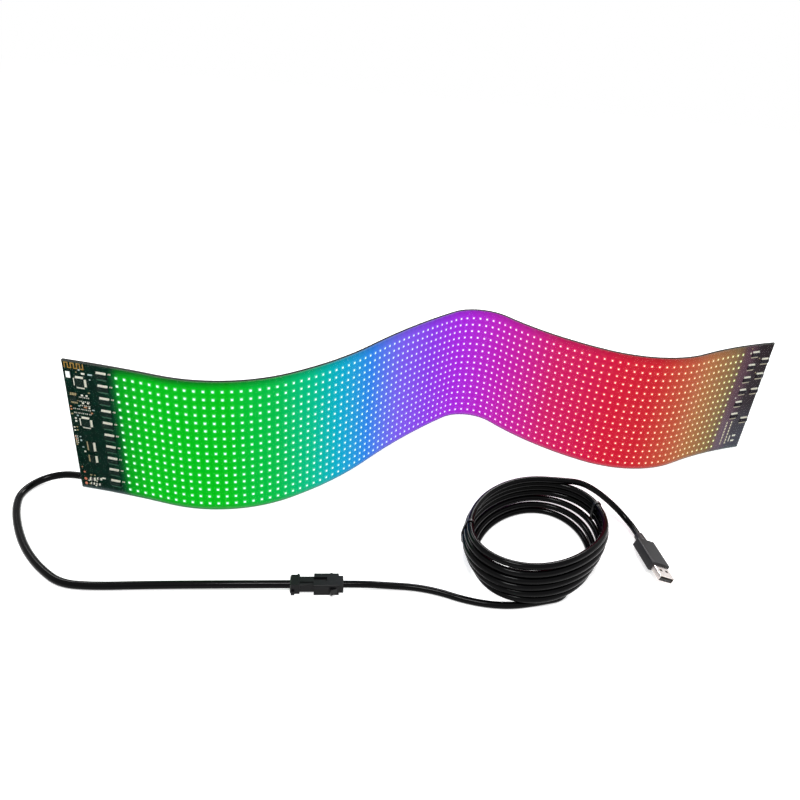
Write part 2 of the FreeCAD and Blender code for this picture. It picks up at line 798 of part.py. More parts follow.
def shroud_housing():
    """Wide half of the connector: a shroud over the nose, side lugs and a rear collar."""
    wide = SHROUD_WIDTH
    tall = SHROUD_HEIGHT
    body = box(SHROUD_LENGTH - 3.0, wide, tall, (0, -wide / 2, -tall / 2))
    body = body.makeFillet(1.0, [edge for edge in body.Edges if edge.BoundBox.XLength > 1.0])
    neck = box(SHROUD_LENGTH, wide - 3.4, tall - 2.0, (0, -(wide - 3.4) / 2, -(tall - 2.0) / 2))
    body = body.fuse(neck)
    for side in (-1, 1):
        begin = SHROUD_LENGTH - 3.6 - LUG_LENGTH
        edge = side * (wide / 2 - 0.4)
        corners = [
            V(begin, edge, -2.2),
            V(begin + LUG_LENGTH, edge, -2.2),
            V(begin + 1.4, edge + side * (LUG_RISE + 0.4), -2.2),
        ]
        lug = Part.Face(Part.makePolygon(corners + [corners[0]])).extrude(V(0, 0, 4.4))
        body = body.fuse(lug)
    hollow_wide = SOCKET_WIDTH + 2 * SHROUD_WALL_GAP
    hollow_tall = SOCKET_HEIGHT + 2 * SHROUD_WALL_GAP
    depth = NEST_DEPTH + NEST_GAP
    hollow = box(depth, hollow_wide, hollow_tall, (0, -hollow_wide / 2, -hollow_tall / 2))
    latch_way = box(depth, 4.0, 1.2, (0, -2.0, SOCKET_HEIGHT / 2))
    body = body.removeSplitter().cut(hollow).cut(latch_way)
    for bore in terminal_bores(depth, SHROUD_LENGTH - depth - 3.0):
        body = body.cut(bore)
    return body


def socket_terminals():
    """Two folded metal contacts that grip the pins inside the slim half."""
    length = TERMINAL_LENGTH
    start = SOCKET_LENGTH - length - TERMINAL_INSET
    hollow = PIN_SIDE + 2 * PIN_GAP
    contacts = []
    for position in (-1, 1):
        outer = terminal_box(start, length, TERMINAL_SIDE, position)
        inner = terminal_box(start + CRIMP_LENGTH, length, hollow, position)
        contacts.append(outer.cut(inner))
    return contacts


def pin_terminals():
    """Two square pins with thick roots, reaching out of the wide half into the slim one."""
    start = NEST_DEPTH + NEST_GAP
    pins = []
    for position in (-1, 1):
        thick = terminal_box(start, PIN_ROOT, TERMINAL_SIDE, position)
        slim = terminal_box(start - PIN_REACH, PIN_REACH + 0.5, PIN_SIDE, position)
        pins.append(thick.fuse(slim).removeSplitter())
    return pins


def joined(shape, offset=0.0):
    """Move a connector piece to its place along the connector's axis."""
    moved = shape.copy()
    moved.translate(V(offset, 0, 0))
    return headed(moved, JOIN_START, JOIN_HEADING)


def coil_section():
    return [V(radius, 0, height) for radius, height in COIL_SECTION]


def supply_coil():
    """Closed ring with the outer shape of the wound cord."""
    corners = coil_section()
    face = Part.Face(Part.makePolygon(corners + [corners[0]]))
    coil = face.revolve(V(0, 0, 0), V(0, 0, 1), 360)
    coil.translate(V(COIL_CENTRE[0], COIL_CENTRE[1], 0))
    return coil


def outside_coil(tube, coil):
    """The parts of a cord's tube that lie outside the wound coil, up to the coil's faces."""
    return tube.cut(coil).Solids


def coil_tie(angle):
    """Flat strap over the upper turns at one angle, its ends tucked between two turns."""
    corners = coil_section()
    outline = Part.makePolygon(corners + [corners[0]])
    inner = Part.Face(outline.makeOffset2D(TIE_GAP, 2))
    outer = Part.Face(outline.makeOffset2D(TIE_GAP + TIE_THICKNESS, 2))
    strap = outer.cut(inner).extrude(V(0, TIE_WIDTH, 0))
    reach = 2 * max(radius for radius, height in COIL_SECTION)
    strap = strap.cut(box(reach, reach, reach, (0, -reach / 2, TIE_LOW - reach)))
    strap.translate(V(0, -TIE_WIDTH / 2, 0))
    strap.rotate(V(0, 0, 0), V(0, 0, 1), angle)
    strap.translate(V(COIL_CENTRE[0], COIL_CENTRE[1], 0))
    return strap


def tail_route():
    """Route of the cord from the top of the coil to the plug."""
    last = ahead_of(PLUG_START, PLUG_HEADING, -TAIL_LAST_RUN)
    return list(TAIL_POINTS) + [last, PLUG_START]


def plug_grip():
    """Moulded grip with a tapered neck, hollow where the metal shell is seated."""
    grip = box(GRIP_LENGTH, GRIP_WIDTH, GRIP_HEIGHT, (NECK_LENGTH, -GRIP_WIDTH / 2, -GRIP_HEIGHT / 2))
    grip = grip.makeFillet(GRIP_EDGE, [edge for edge in grip.Edges if edge.BoundBox.XLength > 1.0])
    neck = Part.makeCone(NECK_RADIUS - NECK_TAPER, NECK_RADIUS, NECK_LENGTH, V(0, 0, 0), V(1, 0, 0))
    neck = neck.makeChamfer(NECK_EDGE, [edge for edge in neck.Edges if edge.BoundBox.XMax < 1e-6])
    body = grip.fuse(neck)
    seat_start = NECK_LENGTH + GRIP_LENGTH - SHELL_SEAT - SEAT_GAP
    wide = SHELL_WIDTH + 2 * SEAT_GAP
    tall = SHELL_HEIGHT + 2 * SEAT_GAP
    seat = box(SHELL_SEAT + 1.0, wide, tall, (seat_start, -wide / 2, -tall / 2))
    return body.cut(seat)


def plug_shell():
    """Folded metal shell with latch windows in its broad faces and a seam underneath."""
    start = NECK_LENGTH + GRIP_LENGTH - SHELL_SEAT
    length = SHELL_SEAT + SHELL_LENGTH
    outer = box(length, SHELL_WIDTH, SHELL_HEIGHT, (start, -SHELL_WIDTH / 2, -SHELL_HEIGHT / 2))
    outer = outer.makeFillet(0.5, [edge for edge in outer.Edges if edge.BoundBox.XLength > 1.0])
    wide = SHELL_WIDTH - 2 * SHELL_WALL
    tall = SHELL_HEIGHT - 2 * SHELL_WALL
    shell = outer.cut(box(length, wide, tall, (start, -wide / 2, -tall / 2)))
    window_start = NECK_LENGTH + GRIP_LENGTH + WINDOW_FROM_GRIP - WINDOW_SIDE / 2
    for side in (-1, 1):
        low = side * WINDOW_SPACING / 2 - WINDOW_SIDE / 2
        shell = shell.cut(box(WINDOW_SIDE, WINDOW_SIDE, 8.0, (window_start, low, -4.0)))
    return shell.cut(box(length, 0.12, 1.0, (start, -0.06, -SHELL_HEIGHT / 2 - 0.5)))


def tongue_box():
    """Start, width and height range of the insulating tongue inside the shell."""
    start = NECK_LENGTH + GRIP_LENGTH - SHELL_SEAT
    wide = SHELL_WIDTH - 2 * SHELL_WALL - 2 * TONGUE_SIDE_GAP
    low = -SHELL_HEIGHT / 2 + SHELL_WALL + 0.02
    return start, wide, low


def plug_tongue():
    start, wide, low = tongue_box()
    length = SHELL_SEAT + SHELL_LENGTH - 0.6
    return box(length, wide, TONGUE_THICKNESS, (start, -wide / 2, low))


def plug_contacts():
    """Four flat contacts on the tongue."""
    start, wide, low = tongue_box()
    length, width, thick = CONTACT_SIZE
    strips = []
    for place in CONTACT_PLACES:
        corner = (NECK_LENGTH + GRIP_LENGTH + 2.0, place - width / 2, low + TONGUE_THICKNESS)
        strips.append(box(length, width, thick, corner))
    return strips


def plugged(shape):
    """Move a plug piece to its place: rolled about the plug's axis, then turned."""
    rolled = shape.copy()
    rolled.rotate(V(0, 0, 0), V(1, 0, 0), PLUG_ROLL)
    return headed(rolled, PLUG_START, PLUG_HEADING)


def save(name, shapes):
    """Write one sub-part, a solid or a group of solids, to its own file."""
    group = shapes if isinstance(shapes, list) else [shapes]
    solids = []
    for shape in group:
        solids += shape.Solids
    for solid in solids:
        if solid.Volume < 0:
            solid.reverse()
    whole = solids[0] if len(solids) == 1 else Part.makeCompound(solids)
    if not whole.isValid():
        print("NOT VALID: " + name)
    whole.exportStep(os.path.join("parts", name + ".step"))
    print("%s: %d solids, volume %.1f" % (name, len(solids), sum(s.Volume for s in solids)))


def main():
    os.makedirs("parts", exist_ok=True)

    save("rear_film", rear_film())
    save("flex_board", flex_board())
    save("clear_cover", clear_cover())
    for number, first in enumerate(range(0, COLUMNS, COLUMNS_PER_BLOCK), 1):
        save("light_block_%d" % number, light_block(first))

    save("driver_chips", chips(NARROW_CHIP, driver_places()))
    save("square_chips", chips(QUAD_CHIP, quad_places()))
    save("memory_chip", chips(WIDE_CHIP, [MEMORY_PLACE]))
    save("switch_chip", chips(NARROW_CHIP, [SWITCH_PLACE], 90.0))
    save("gate_chip", chips(SLIM_CHIP, [GATE_PLACE], 90.0))
    save("chip_leads", left_leads())
    save("crystal_can", small_parts(CRYSTAL_SIZE, [CRYSTAL_PLACE]))
    save("resistors", small_parts(RESISTOR_SIZE, resistor_places()))
    save("bypass_capacitors", small_parts(BYPASS_SIZE, bypass_places()))
    save("inlet_parts", inlet_parts())
    save("antenna_trace", antenna_trace())
    save("tail_row_chips", chips(NARROW_CHIP, tail_row_places()))
    save("tail_edge_chips", chips(NARROW_CHIP, tail_edge_places()))
    save("tail_chip_leads", tail_leads())
    save("link_pads", link_pads())
    save("solder_joints", solder_joints())
    save("lead_anchor", lead_anchor())

    save("power_lead", cord_tube("power_lead", lead_route(), LEAD_DIAMETER))
    save("socket_housing", joined(socket_housing()))
    save("socket_terminals", [joined(piece) for piece in socket_terminals()])
    shroud_start = SOCKET_LENGTH - NEST_DEPTH
    save("shroud_housing", joined(shroud_housing(), shroud_start))
    save("pin_terminals", [joined(piece, shroud_start) for piece in pin_terminals()])

    coil = supply_coil()
    supply_lead = cord_tube("supply_lead", supply_route(), CORD_DIAMETER)
    supply_tail = cord_tube("supply_tail", tail_route(), CORD_DIAMETER)
    save("supply_lead", outside_coil(supply_lead, coil))
    save("supply_coil", coil)
    save("coil_ties", [coil_tie(angle) for angle in TIE_ANGLES])
    save("supply_tail", outside_coil(supply_tail, coil))
    save("plug_grip", plugged(plug_grip()))
    save("plug_shell", plugged(plug_shell()))
    save("plug_tongue", plugged(plug_tongue()))
    save("plug_contacts", [plugged(strip) for strip in plug_contacts()])


main()
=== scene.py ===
# %% [markdown]
# A flexible light display, dressed for its picture.
# The sheet stands on its long edge in a wave. Under a clear soft cover lie 1,536 lit packages,
# driver chips and a dark flexible board. A power lead, a two-part connector, a wound supply cord
# and a flat supply plug belong to it. The measured solids come first, as a fixed frame, and
# every finish and fine piece is fitted to them.

# %% Load the measured solids
import bpy
import math
from mathutils import Matrix, Vector


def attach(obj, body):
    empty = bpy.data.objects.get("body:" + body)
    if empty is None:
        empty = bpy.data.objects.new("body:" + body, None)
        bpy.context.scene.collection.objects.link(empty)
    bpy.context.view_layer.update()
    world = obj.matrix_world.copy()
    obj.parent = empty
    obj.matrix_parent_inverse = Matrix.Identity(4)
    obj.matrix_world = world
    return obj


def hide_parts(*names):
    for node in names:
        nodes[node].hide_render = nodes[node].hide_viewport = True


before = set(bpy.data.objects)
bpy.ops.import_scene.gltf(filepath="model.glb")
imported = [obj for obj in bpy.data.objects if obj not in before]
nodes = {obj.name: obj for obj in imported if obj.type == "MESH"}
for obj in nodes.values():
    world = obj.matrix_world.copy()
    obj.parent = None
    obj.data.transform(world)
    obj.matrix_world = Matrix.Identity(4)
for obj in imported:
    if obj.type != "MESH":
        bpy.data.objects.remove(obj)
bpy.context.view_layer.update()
BODY = "root"
MM = 0.001


def placed(name, data):
    """New object in the scene that holds some data."""
    thing = bpy.data.objects.new(name, data)
    bpy.context.scene.collection.objects.link(thing)
    return thing


# %% [markdown]
# The picture was taken from a little above the table, in front of the sheet's left half.
# The camera's place, direction, focal length and turn are all fitted to the wave's lines. The
# turn is small: the horizon leans by about five degrees.

# %% Camera at the picture's viewing angle
CAMERA_PLACE = Vector((-0.04472, -0.50815, 0.3408))
CAMERA_PITCH = math.radians(28.93)
CAMERA_LEAN = math.asin(0.09098)
CAMERA_LENS = 31.63
SENSOR = 36.0

forward = Vector((0, math.cos(CAMERA_PITCH), -math.sin(CAMERA_PITCH)))
level_right = Vector((1, 0, 0))
level_up = level_right.cross(forward)
right = level_right * math.cos(CAMERA_LEAN) + level_up * math.sin(CAMERA_LEAN)
up = level_up * math.cos(CAMERA_LEAN) - level_right * math.sin(CAMERA_LEAN)

camera_data = bpy.data.cameras.new("viewing_camera")
camera_data.lens = CAMERA_LENS
camera_data.sensor_width = SENSOR
camera_data.clip_start = 0.01
camera = placed("viewing_camera", camera_data)
axes = Matrix((right, up, -forward)).transposed()
camera.matrix_world = Matrix.Translation(CAMERA_PLACE) @ axes.to_4x4()
bpy.context.scene.camera = camera
print("camera", CAMERA_LENS, "mm lens, leaning", round(math.degrees(CAMERA_LEAN), 1), "degrees")

# %% [markdown]
# A free cord is one smooth line with a round section. A NURBS line of order three follows its
# control points without kinks.
# The power lead leaves its anchor behind the sheet, bends round the corner and comes forward
# to the connector.

# %% Power lead
def cord_curve(name, route, diameter):
    """One open NURBS line with a round section, its half width kept in the points' radius."""
    data = bpy.data.curves.new(name, "CURVE")
    data.dimensions = "3D"
    data.bevel_depth = 1.0
    data.bevel_resolution = 5
    data.use_fill_caps = True
    spline = data.splines.new("NURBS")
    spline.points.add(len(route) - 1)
    for point, spot in zip(spline.points, route):
        point.co = (*spot, 1.0)
        point.radius = diameter / 2
    spline.order_u = 3
    spline.use_endpoint_u = True
    spline.resolution_u = 8
    print(name, "has", len(route), "points, length", round(spline.calc_length(), 3))
    return placed(name, data)


LEAD_DIAMETER = 0.0055
LEAD_EXIT = (-0.280625, -0.071103, 0.0066)
LEAD_ROUTE = (
    LEAD_EXIT,
    (-0.291058, -0.069920, 0.0066),
    (-0.3025, -0.0706, 0.0056),
    (-0.3125, -0.0755, 0.0042),
    (-0.3190, -0.0845, 0.0032),
    (-0.3208, -0.0955, 0.0028),
    (-0.3170, -0.1075, 0.0028),
    (-0.3108, -0.1198, 0.0028),
    (-0.3028, -0.1325, 0.0028),
    (-0.2932, -0.1455, 0.0028),
    (-0.2818, -0.1578, 0.0028),
    (-0.2685, -0.1692, 0.0028),
    (-0.2515, -0.1799, 0.0028),
    (-0.2310, -0.1798, 0.0028),
    (-0.1970, -0.1744, 0.0029),
    (-0.139717, -0.167879, 0.0043),
    (-0.1060, -0.1635, 0.0043),
)
power_lead = cord_curve("power_cord", LEAD_ROUTE, LEAD_DIAMETER)

# %% [markdown]
# The supply cord is wound into a ring of about six turns. A helix worked out in a loop gives
# the turns, as more points of the same line. Each turn lies on the one below, and a real
# winding steps up where it passes over the cord that runs in underneath, here at the front
# right. The lead-in turns back once in a flat loop inside the ring, so that all turns run
# the same way and the tail can leave at the rear, as in the picture.

# %% Supply cord with its coil
CORD_DIAMETER = 0.0048
SUPPLY_EXIT = (-0.071192, -0.158979, 0.0043)
LEAD_IN = (
    SUPPLY_EXIT,
    (-0.057309, -0.157176, 0.0043),
    (-0.0405, -0.1550, 0.0029),
    (-0.0225, -0.1539, 0.0025),
    (-0.0060, -0.1564, 0.00245),
    (0.0080, -0.1610, 0.00245),
    (0.0240, -0.1636, 0.00245),
    (0.0410, -0.1630, 0.00245),
    (0.0565, -0.1586, 0.00245),
    (0.0657, -0.1553, 0.00245),
    (0.0747, -0.1521, 0.00245),
    (0.0802, -0.1453, 0.00245),
    (0.0812, -0.1364, 0.00245),
    (0.0773, -0.1283, 0.00245),
    (0.0703, -0.1232, 0.00245),
    (0.0599, -0.1224, 0.00245),
    (0.0482, -0.1271, 0.00245),
    (0.0372, -0.1306, 0.00245),
    (0.0280, -0.1282, 0.00245),
    (0.0212, -0.1218, 0.00245),
    (0.0190, -0.1130, 0.00245),
)
TAIL = (
    (0.0868, -0.0553, 0.0325),
    (0.1010, -0.0546, 0.0318),
    (0.1135, -0.0545, 0.0258),
    (0.1245, -0.0553, 0.0184),
    (0.1338, -0.0589, 0.0120),
    (0.1400, -0.0650, 0.0079),
    (0.143715, -0.072623, 0.0065),
    (0.1452, -0.0815, 0.0065),
)
COIL_CENTRE = Vector((0.0615, -0.1060))
COIL_START = 178.0
COIL_END = 60.0 - 6 * 360.0
TURN_POINTS = 16
TURN_WIDTHS = (0.0430, 0.0452, 0.0485, 0.0510, 0.0518, 0.0510, 0.0495)
TURN_DEPTHS = (0.0505, 0.0512, 0.0517, 0.0519, 0.0514, 0.0502, 0.0487)
FRONT_SHIFT = (-0.0025, -0.0020, -0.0010, 0.0, 0.0, 0.0, 0.0)
SLANT = 0.30
LOWEST_TURN = 0.00245
TURN_RISE = 0.00497
CLIMB_FROM = 5.0
CLIMB_OVER = 62.0
STRAY = 0.008
STRAY_WAVES = (1.7, 0.31)


def smooth_step(value):
    value = min(max(value, 0.0), 1.0)
    return value * value * (3 - 2 * value)


def turn_rank(angle):
    """How many turns lie below the cord at an unwound angle, with a soft step at each climb."""
    rank = 0.0
    for climb in range(len(TURN_WIDTHS) - 1):
        rank += smooth_step((CLIMB_FROM - 360.0 * climb - angle) / CLIMB_OVER)
    return rank


def between_turns(values, rank):
    """Value for a rank that may lie between two turns."""
    lower = min(int(rank), len(values) - 2)
    return values[lower] * (1 - rank + lower) + values[lower + 1] * (rank - lower)


def turn_place(angle, push=1.0):
    """Place of the cord's middle at an unwound angle of the winding."""
    rank = turn_rank(angle)
    heading = math.radians(angle)
    x = between_turns(TURN_WIDTHS, rank) * push * math.cos(heading)
    y = between_turns(TURN_DEPTHS, rank) * push * math.sin(heading)
    y += between_turns(FRONT_SHIFT, rank) + SLANT * x
    return Vector((COIL_CENTRE.x + x, COIL_CENTRE.y + y, LOWEST_TURN + TURN_RISE * rank))


def coil_points():
    """Control points of the wound turns, pushed out a little so that the line keeps its radius."""
    step = 360.0 / TURN_POINTS
    push = 1 / math.cos(math.radians(step / 2))
    count = int((COIL_START - COIL_END) / step)
    points = []
    for index in range(1, count):
        stray = 1 + STRAY * math.sin(STRAY_WAVES[0] * index) * math.sin(STRAY_WAVES[1] * index)
        points.append(tuple(turn_place(COIL_START - step * index, push * stray)))
    return points


supply_cord = cord_curve("supply_cord", LEAD_IN + tuple(coil_points()) + TAIL, CORD_DIAMETER)

# %% [markdown]
# Two thin straps hold the upper turns together. Each is a band pulled tight round the strands,
# so its outline is the hull of their round sections.

# %% Straps round the upper turns
STRAP_HEADINGS = (17.0, 176.0)
STRAP_WIDTH = 0.0020
STRAP_THICKNESS = 0.0007
STRAP_GAP = 0.0001
STRAP_LOWEST = 0.0155
STRAP_TURN = 720.0
HULL_STEPS = 40


def strap_ring(spots, beyond):
    """Outline round a bundle of strands, as distance outwards and height, for one skin."""
    ring = []
    for step in range(HULL_STEPS):
        turn = 2 * math.pi * step / HULL_STEPS
        aim = Vector((math.cos(turn), math.sin(turn)))
        furthest = max(spots, key=lambda spot: spot.dot(aim))
        ring.append(furthest + aim * (CORD_DIAMETER / 2 + beyond))
    return ring


def coil_strap(heading):
    """Points and faces of one band, closed all round."""
    angles = [heading - 360.0 * turn for turn in range(len(TURN_WIDTHS) + 1)]
    strands = [turn_place(angle) for angle in angles if COIL_END < angle < COIL_START]
    strands = [strand for strand in strands if strand.z > STRAP_LOWEST]
    ahead = turn_place(heading - STRAP_TURN + 1) - turn_place(heading - STRAP_TURN - 1)
    ahead = ahead.to_2d().to_3d().normalized()
    outwards = Vector((ahead.y, -ahead.x, 0))
    if outwards.dot(strands[0] - COIL_CENTRE.to_3d()) < 0:
        outwards = -outwards
    base = strands[0].to_2d().to_3d()
    spots = [Vector(((strand - base).dot(outwards), strand.z)) for strand in strands]
    outer = STRAP_GAP + STRAP_THICKNESS
    points, faces = [], []
    for beyond, side in ((STRAP_GAP, -1), (STRAP_GAP, 1), (outer, 1), (outer, -1)):
        for spot in strap_ring(spots, beyond):
            sideways = ahead * side * STRAP_WIDTH / 2
            points.append(base + outwards * spot.x + sideways + Vector((0, 0, spot.y)))
    for skin in range(4):
        for step in range(HULL_STEPS):
            after = (step + 1) % HULL_STEPS
            low, high = skin * HULL_STEPS, (skin + 1) % 4 * HULL_STEPS
            faces.append([low + step, low + after, high + after, high + step])
    return points, faces


strap_points, strap_faces = [], []
for heading in STRAP_HEADINGS:
    points, faces = coil_strap(heading)
    first = len(strap_points)
    strap_points += points
    strap_faces += [[first + corner for corner in face] for face in faces]
mesh = bpy.data.meshes.new("coil_straps")
mesh.from_pydata(strap_points, [], strap_faces)
coil_straps = placed("coil_straps", mesh)
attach(coil_straps, BODY)
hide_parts("coil_ties")
print("straps:", len(STRAP_HEADINGS), "with", len(strap_faces), "faces")

# %% [markdown]
# Each cord hangs on the object's body, and the solids that it stands for are hidden.

# %% Attach both cords
for piece, solids in (
    (power_lead, ["power_lead"]),
    (supply_cord, ["supply_lead", "supply_coil", "supply_tail"]),
):
    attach(piece, BODY)
    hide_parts(*solids)

print("cords stated:", power_lead.name, "and", supply_cord.name)

# %% [markdown]
# Colours are picked as hex values, which are sRGB. The renderer counts in
# linear light, so one function turns each value over. A second adds a node with its settings
# and links, and the rest build on it. Nearly every finish drifts between two near tones.

# %% Colour and node helpers
def linear(hex_colour, alpha=1.0):
    """Linear colour from an sRGB hex value such as #2fa36b."""
    parts = [int(hex_colour[index:index + 2], 16) / 255 for index in (1, 3, 5)]
    return [p / 12.92 if p <= 0.04045 else ((p + 0.055) / 1.055) ** 2.4 for p in parts] + [alpha]


def add_node(tree, kind, values=None, **settings):
    """Add a shader node, set its properties, then set or link its inputs."""
    node = tree.nodes.new("ShaderNode" + kind)
    for name, value in settings.items():
        setattr(node, name, value)
    for name, value in (values or {}).items():
        socket = node.inputs[name]
        if isinstance(value, bpy.types.NodeSocket):
            tree.links.new(value, socket)
        else:
            socket.default_value = value
    return node


def new_material(name):
    material = bpy.data.materials.new(name)
    material.use_nodes = True
    material.node_tree.nodes.clear()
    return material, material.node_tree


def calculate(tree, operation, *values):
    """Output of one arithmetic node."""
    return add_node(tree, "Math", dict(enumerate(values)), operation=operation).outputs[0]


def span_share(tree, value, span, low=0.0, high=1.0):
    """Value that runs from low to high while the input crosses a span."""
    limits = {"From Min": span[0], "From Max": span[1], "To Min": low, "To Max": high}
    return add_node(tree, "MapRange", {"Value": value, **limits}).outputs[0]


def two_tones(tree, dark, pale, values, on_object=True):
    """Colour that drifts between two tones, and the noise that it follows."""
    if on_object:
        values = {"Vector": add_node(tree, "TexCoord").outputs["Object"], **values}
    noise = add_node(tree, "TexNoise", values).outputs["Fac"]
    tone = add_node(tree, "MixRGB", {"Fac": noise, "Color1": linear(dark), "Color2": linear(pale)})
    return tone.outputs[0], noise


def finish_surface(tree, shader):
    add_node(tree, "OutputMaterial", {"Surface": shader.outputs[0]})


def finish_plain(tree, values):
    """End a material in one plain surface shader."""
    finish_surface(tree, add_node(tree, "BsdfPrincipled", values))


def dress(piece, *materials):
    """Give a piece its materials, in order, in place of what its slots held."""
    slots = piece.data.materials
    while len(slots) < len(materials):
        slots.append(None)
    for index in range(len(slots)):
        slots[index] = materials[min(index, len(materials) - 1)]


print("colours are linear:", [round(part, 3) for part in linear("#2fa36b")])

# %% [markdown]
# The table is a plain white sweep that still catches the soft shadows of the cord. A pale
# diffuse paint does that in even light, and a share of plain emission, seen only by camera,
# mirror and glass rays, lifts the rest to white without lighting the object more.

# %% Floor and world
FLOOR_SIZE = 6.0
FLOOR_LIFT = 0.62
WORLD_LIGHT = 0.47
floor_mesh = bpy.data.meshes.new("floor")
half = FLOOR_SIZE / 2
floor_corners = [(-half, -half, 0), (half, -half, 0), (half, half, 0), (-half, half, 0)]
floor_mesh.from_pydata(floor_corners, [], [(0, 1, 2, 3)])
floor = placed("floor", floor_mesh)


def seen_directly(tree):
    """One for camera, mirror and glass rays, and nought for the rays that light the object."""
    rays = add_node(tree, "LightPath").outputs
    seen = calculate(tree, "MAXIMUM", rays["Is Camera Ray"], rays["Is Glossy Ray"])
    return calculate(tree, "MAXIMUM", seen, rays["Is Transmission Ray"])


matt_white, tree = new_material("matt_white_paper_sweep")
paper = add_node(tree, "BsdfDiffuse", {"Color": linear("#e6e6e6")})
lift = calculate(tree, "MULTIPLY", seen_directly(tree), FLOOR_LIFT)
white = add_node(tree, "Emission", {"Color": linear("#ffffff"), "Strength": lift})
finish_surface(tree, add_node(tree, "AddShader", {0: paper.outputs[0], 1: white.outputs[0]}))
dress(floor, matt_white)

world = bpy.data.worlds.new("studio")
bpy.context.scene.world = world
world.use_nodes = True
tree = world.node_tree
tree.nodes.clear()
strength = span_share(tree, seen_directly(tree), (0.0, 1.0), WORLD_LIGHT)
sky = add_node(tree, "Background", {"Color": linear("#ffffff"), "Strength": strength})
add_node(tree, "OutputWorld", {"Surface": sky.outputs[0]})
print("floor", FLOOR_SIZE, "m wide, world light", WORLD_LIGHT)

bpy.context.scene.view_settings.view_transform = "Standard"

# %% [markdown]
# Three oblong lamps add to the even light. The one above the camera draws the pale line along
# the cords, and the two at the back light the upper edges and cast the shadows forward.

# %% Three soft lamps
def soft_lamp(name, place, target, width, depth, power):
    """Oblong lamp at a place, aimed at a target point."""
    data = bpy.data.lights.new(name, "AREA")
    data.shape = "RECTANGLE"
    data.size = width
    data.size_y = depth
    data.energy = power
    lamp = placed(name, data)
    lamp.location = place
    aim = Vector(target) - Vector(place)
    lamp.rotation_euler = aim.to_track_quat("-Z", "Y").to_euler()
    print(name, "at", place, "with", power, "W")


soft_lamp("overhead_lamp", (-0.10, -0.70, 1.35), (0, -0.1, 0), 0.42, 0.20, 13.0)
soft_lamp("rear_lamp", (0.34, 1.00, 1.10), (0.05, -0.1, 0), 0.50, 0.25, 12.0)
soft_lamp("rear_left_lamp", (-0.85, 0.85, 1.1), (-0.2, -0.1, 0), 0.40, 0.25, 5.0)

# %% [markdown]
# The sheet is bent in plan only, so every point on it is known from its distance along the
# sheet, its depth through the layers and its height. The wave is a chain of arcs, each with a
# length and a bend radius. The same chain that shapes the solids is walked here in metres, so
# that fine pieces land on the board.

# %% Walk along the wave
FIRST_HEADING = -6.3
WAVE = (
    (0.072, -0.688),
    (0.094, 0.104),
    (0.081, 0.258),
    (0.110, -0.573),
    (0.052, -0.032),
    (0.096, 0.229),
    (0.089, 0.088),
    (0.086, -0.352),
)
MIDDLE = (0.28311974, 0.07535158)
SHEET_LENGTH = 0.680
SHEET_HEIGHT = 0.110


def wave_stretches():
    """Start distance, point, heading and radius of each arc of the wave."""
    x, y, heading, start = -MIDDLE[0], -MIDDLE[1], math.radians(FIRST_HEADING), 0.0
    stretches = []
    for length, radius in WAVE:
        stretches.append((start, x, y, heading, radius))
        after = heading + length / radius
        x += radius * (math.sin(after) - math.sin(heading))
        y -= radius * (math.cos(after) - math.cos(heading))
        heading = after
        start += length
    return stretches


STRETCHES = wave_stretches()


def on_sheet(along, depth, height):
    """Point on the sheet, and its heading there, for a depth in front of the board's rear."""
    chosen = [stretch for stretch in STRETCHES if along >= stretch[0] or stretch[0] == 0.0][-1]
    start, x, y, heading, radius = chosen
    turned = heading + (along - start) / radius
    x += radius * (math.sin(turned) - math.sin(heading)) + depth * math.sin(turned)
    y -= radius * (math.cos(turned) - math.cos(heading)) + depth * math.cos(turned)
    return Vector((x, y, height)), turned


tip, tip_heading = on_sheet(SHEET_LENGTH, 0.0, 0.0)
print("right end at", [round(v, 4) for v in tip], "heading", round(math.degrees(tip_heading), 1))

# %% [markdown]
# Small parts are drawn flat, with the board's length along X and its height along Y, and then
# set on the bent sheet. A part is rigid, so all its points share the heading of its own place.
# One function makes a piece from such shapes and keeps, for each point, where on the sheet it
# sits, which the lit colours need later.

# %% Build pieces from flat shapes
CORNER_SHARE = 0.8


class FlatShapes:
    """Points and faces of many small shapes that become one piece on the sheet."""

    def __init__(self):
        self.points = []
        self.faces = []
        self.kinds = []
        self.spots = []

    def add(self, points, faces, along, height, depth, turn=0.0, kind=0, kinds=None):
        """Set one flat shape on the sheet at a place, turned by a number of degrees."""
        base, heading = on_sheet(along, depth, height)
        run = Vector((math.cos(heading), math.sin(heading), 0))
        out = Vector((math.sin(heading), -math.cos(heading), 0))
        cosine = math.cos(math.radians(turn))
        sine = math.sin(math.radians(turn))
        first = len(self.points)
        for x, y, z in points:
            turned_x = x * cosine - y * sine
            turned_y = x * sine + y * cosine
            self.points.append(base + run * turned_x + out * z + Vector((0, 0, turned_y)))
            self.spots.append((along, height))
        for number, face in enumerate(faces):
            self.faces.append([first + index for index in face])
            self.kinds.append(kinds[number] if kinds else kind)

    def piece(self, name, smooth=False):
        mesh = bpy.data.meshes.new(name)
        mesh.from_pydata(self.points, [], self.faces)
        mesh.polygons.foreach_set("material_index", self.kinds)
        mesh.polygons.foreach_set("use_smooth", [smooth] * len(self.faces))
        layer = mesh.uv_layers.new(name="sheet_place")
        loops = [self.spots[loop.vertex_index] for loop in mesh.loops]
        layer.uv.foreach_set("vector", [value for spot in loops for value in spot])
        piece = placed(name, mesh)
        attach(piece, BODY)
        return piece


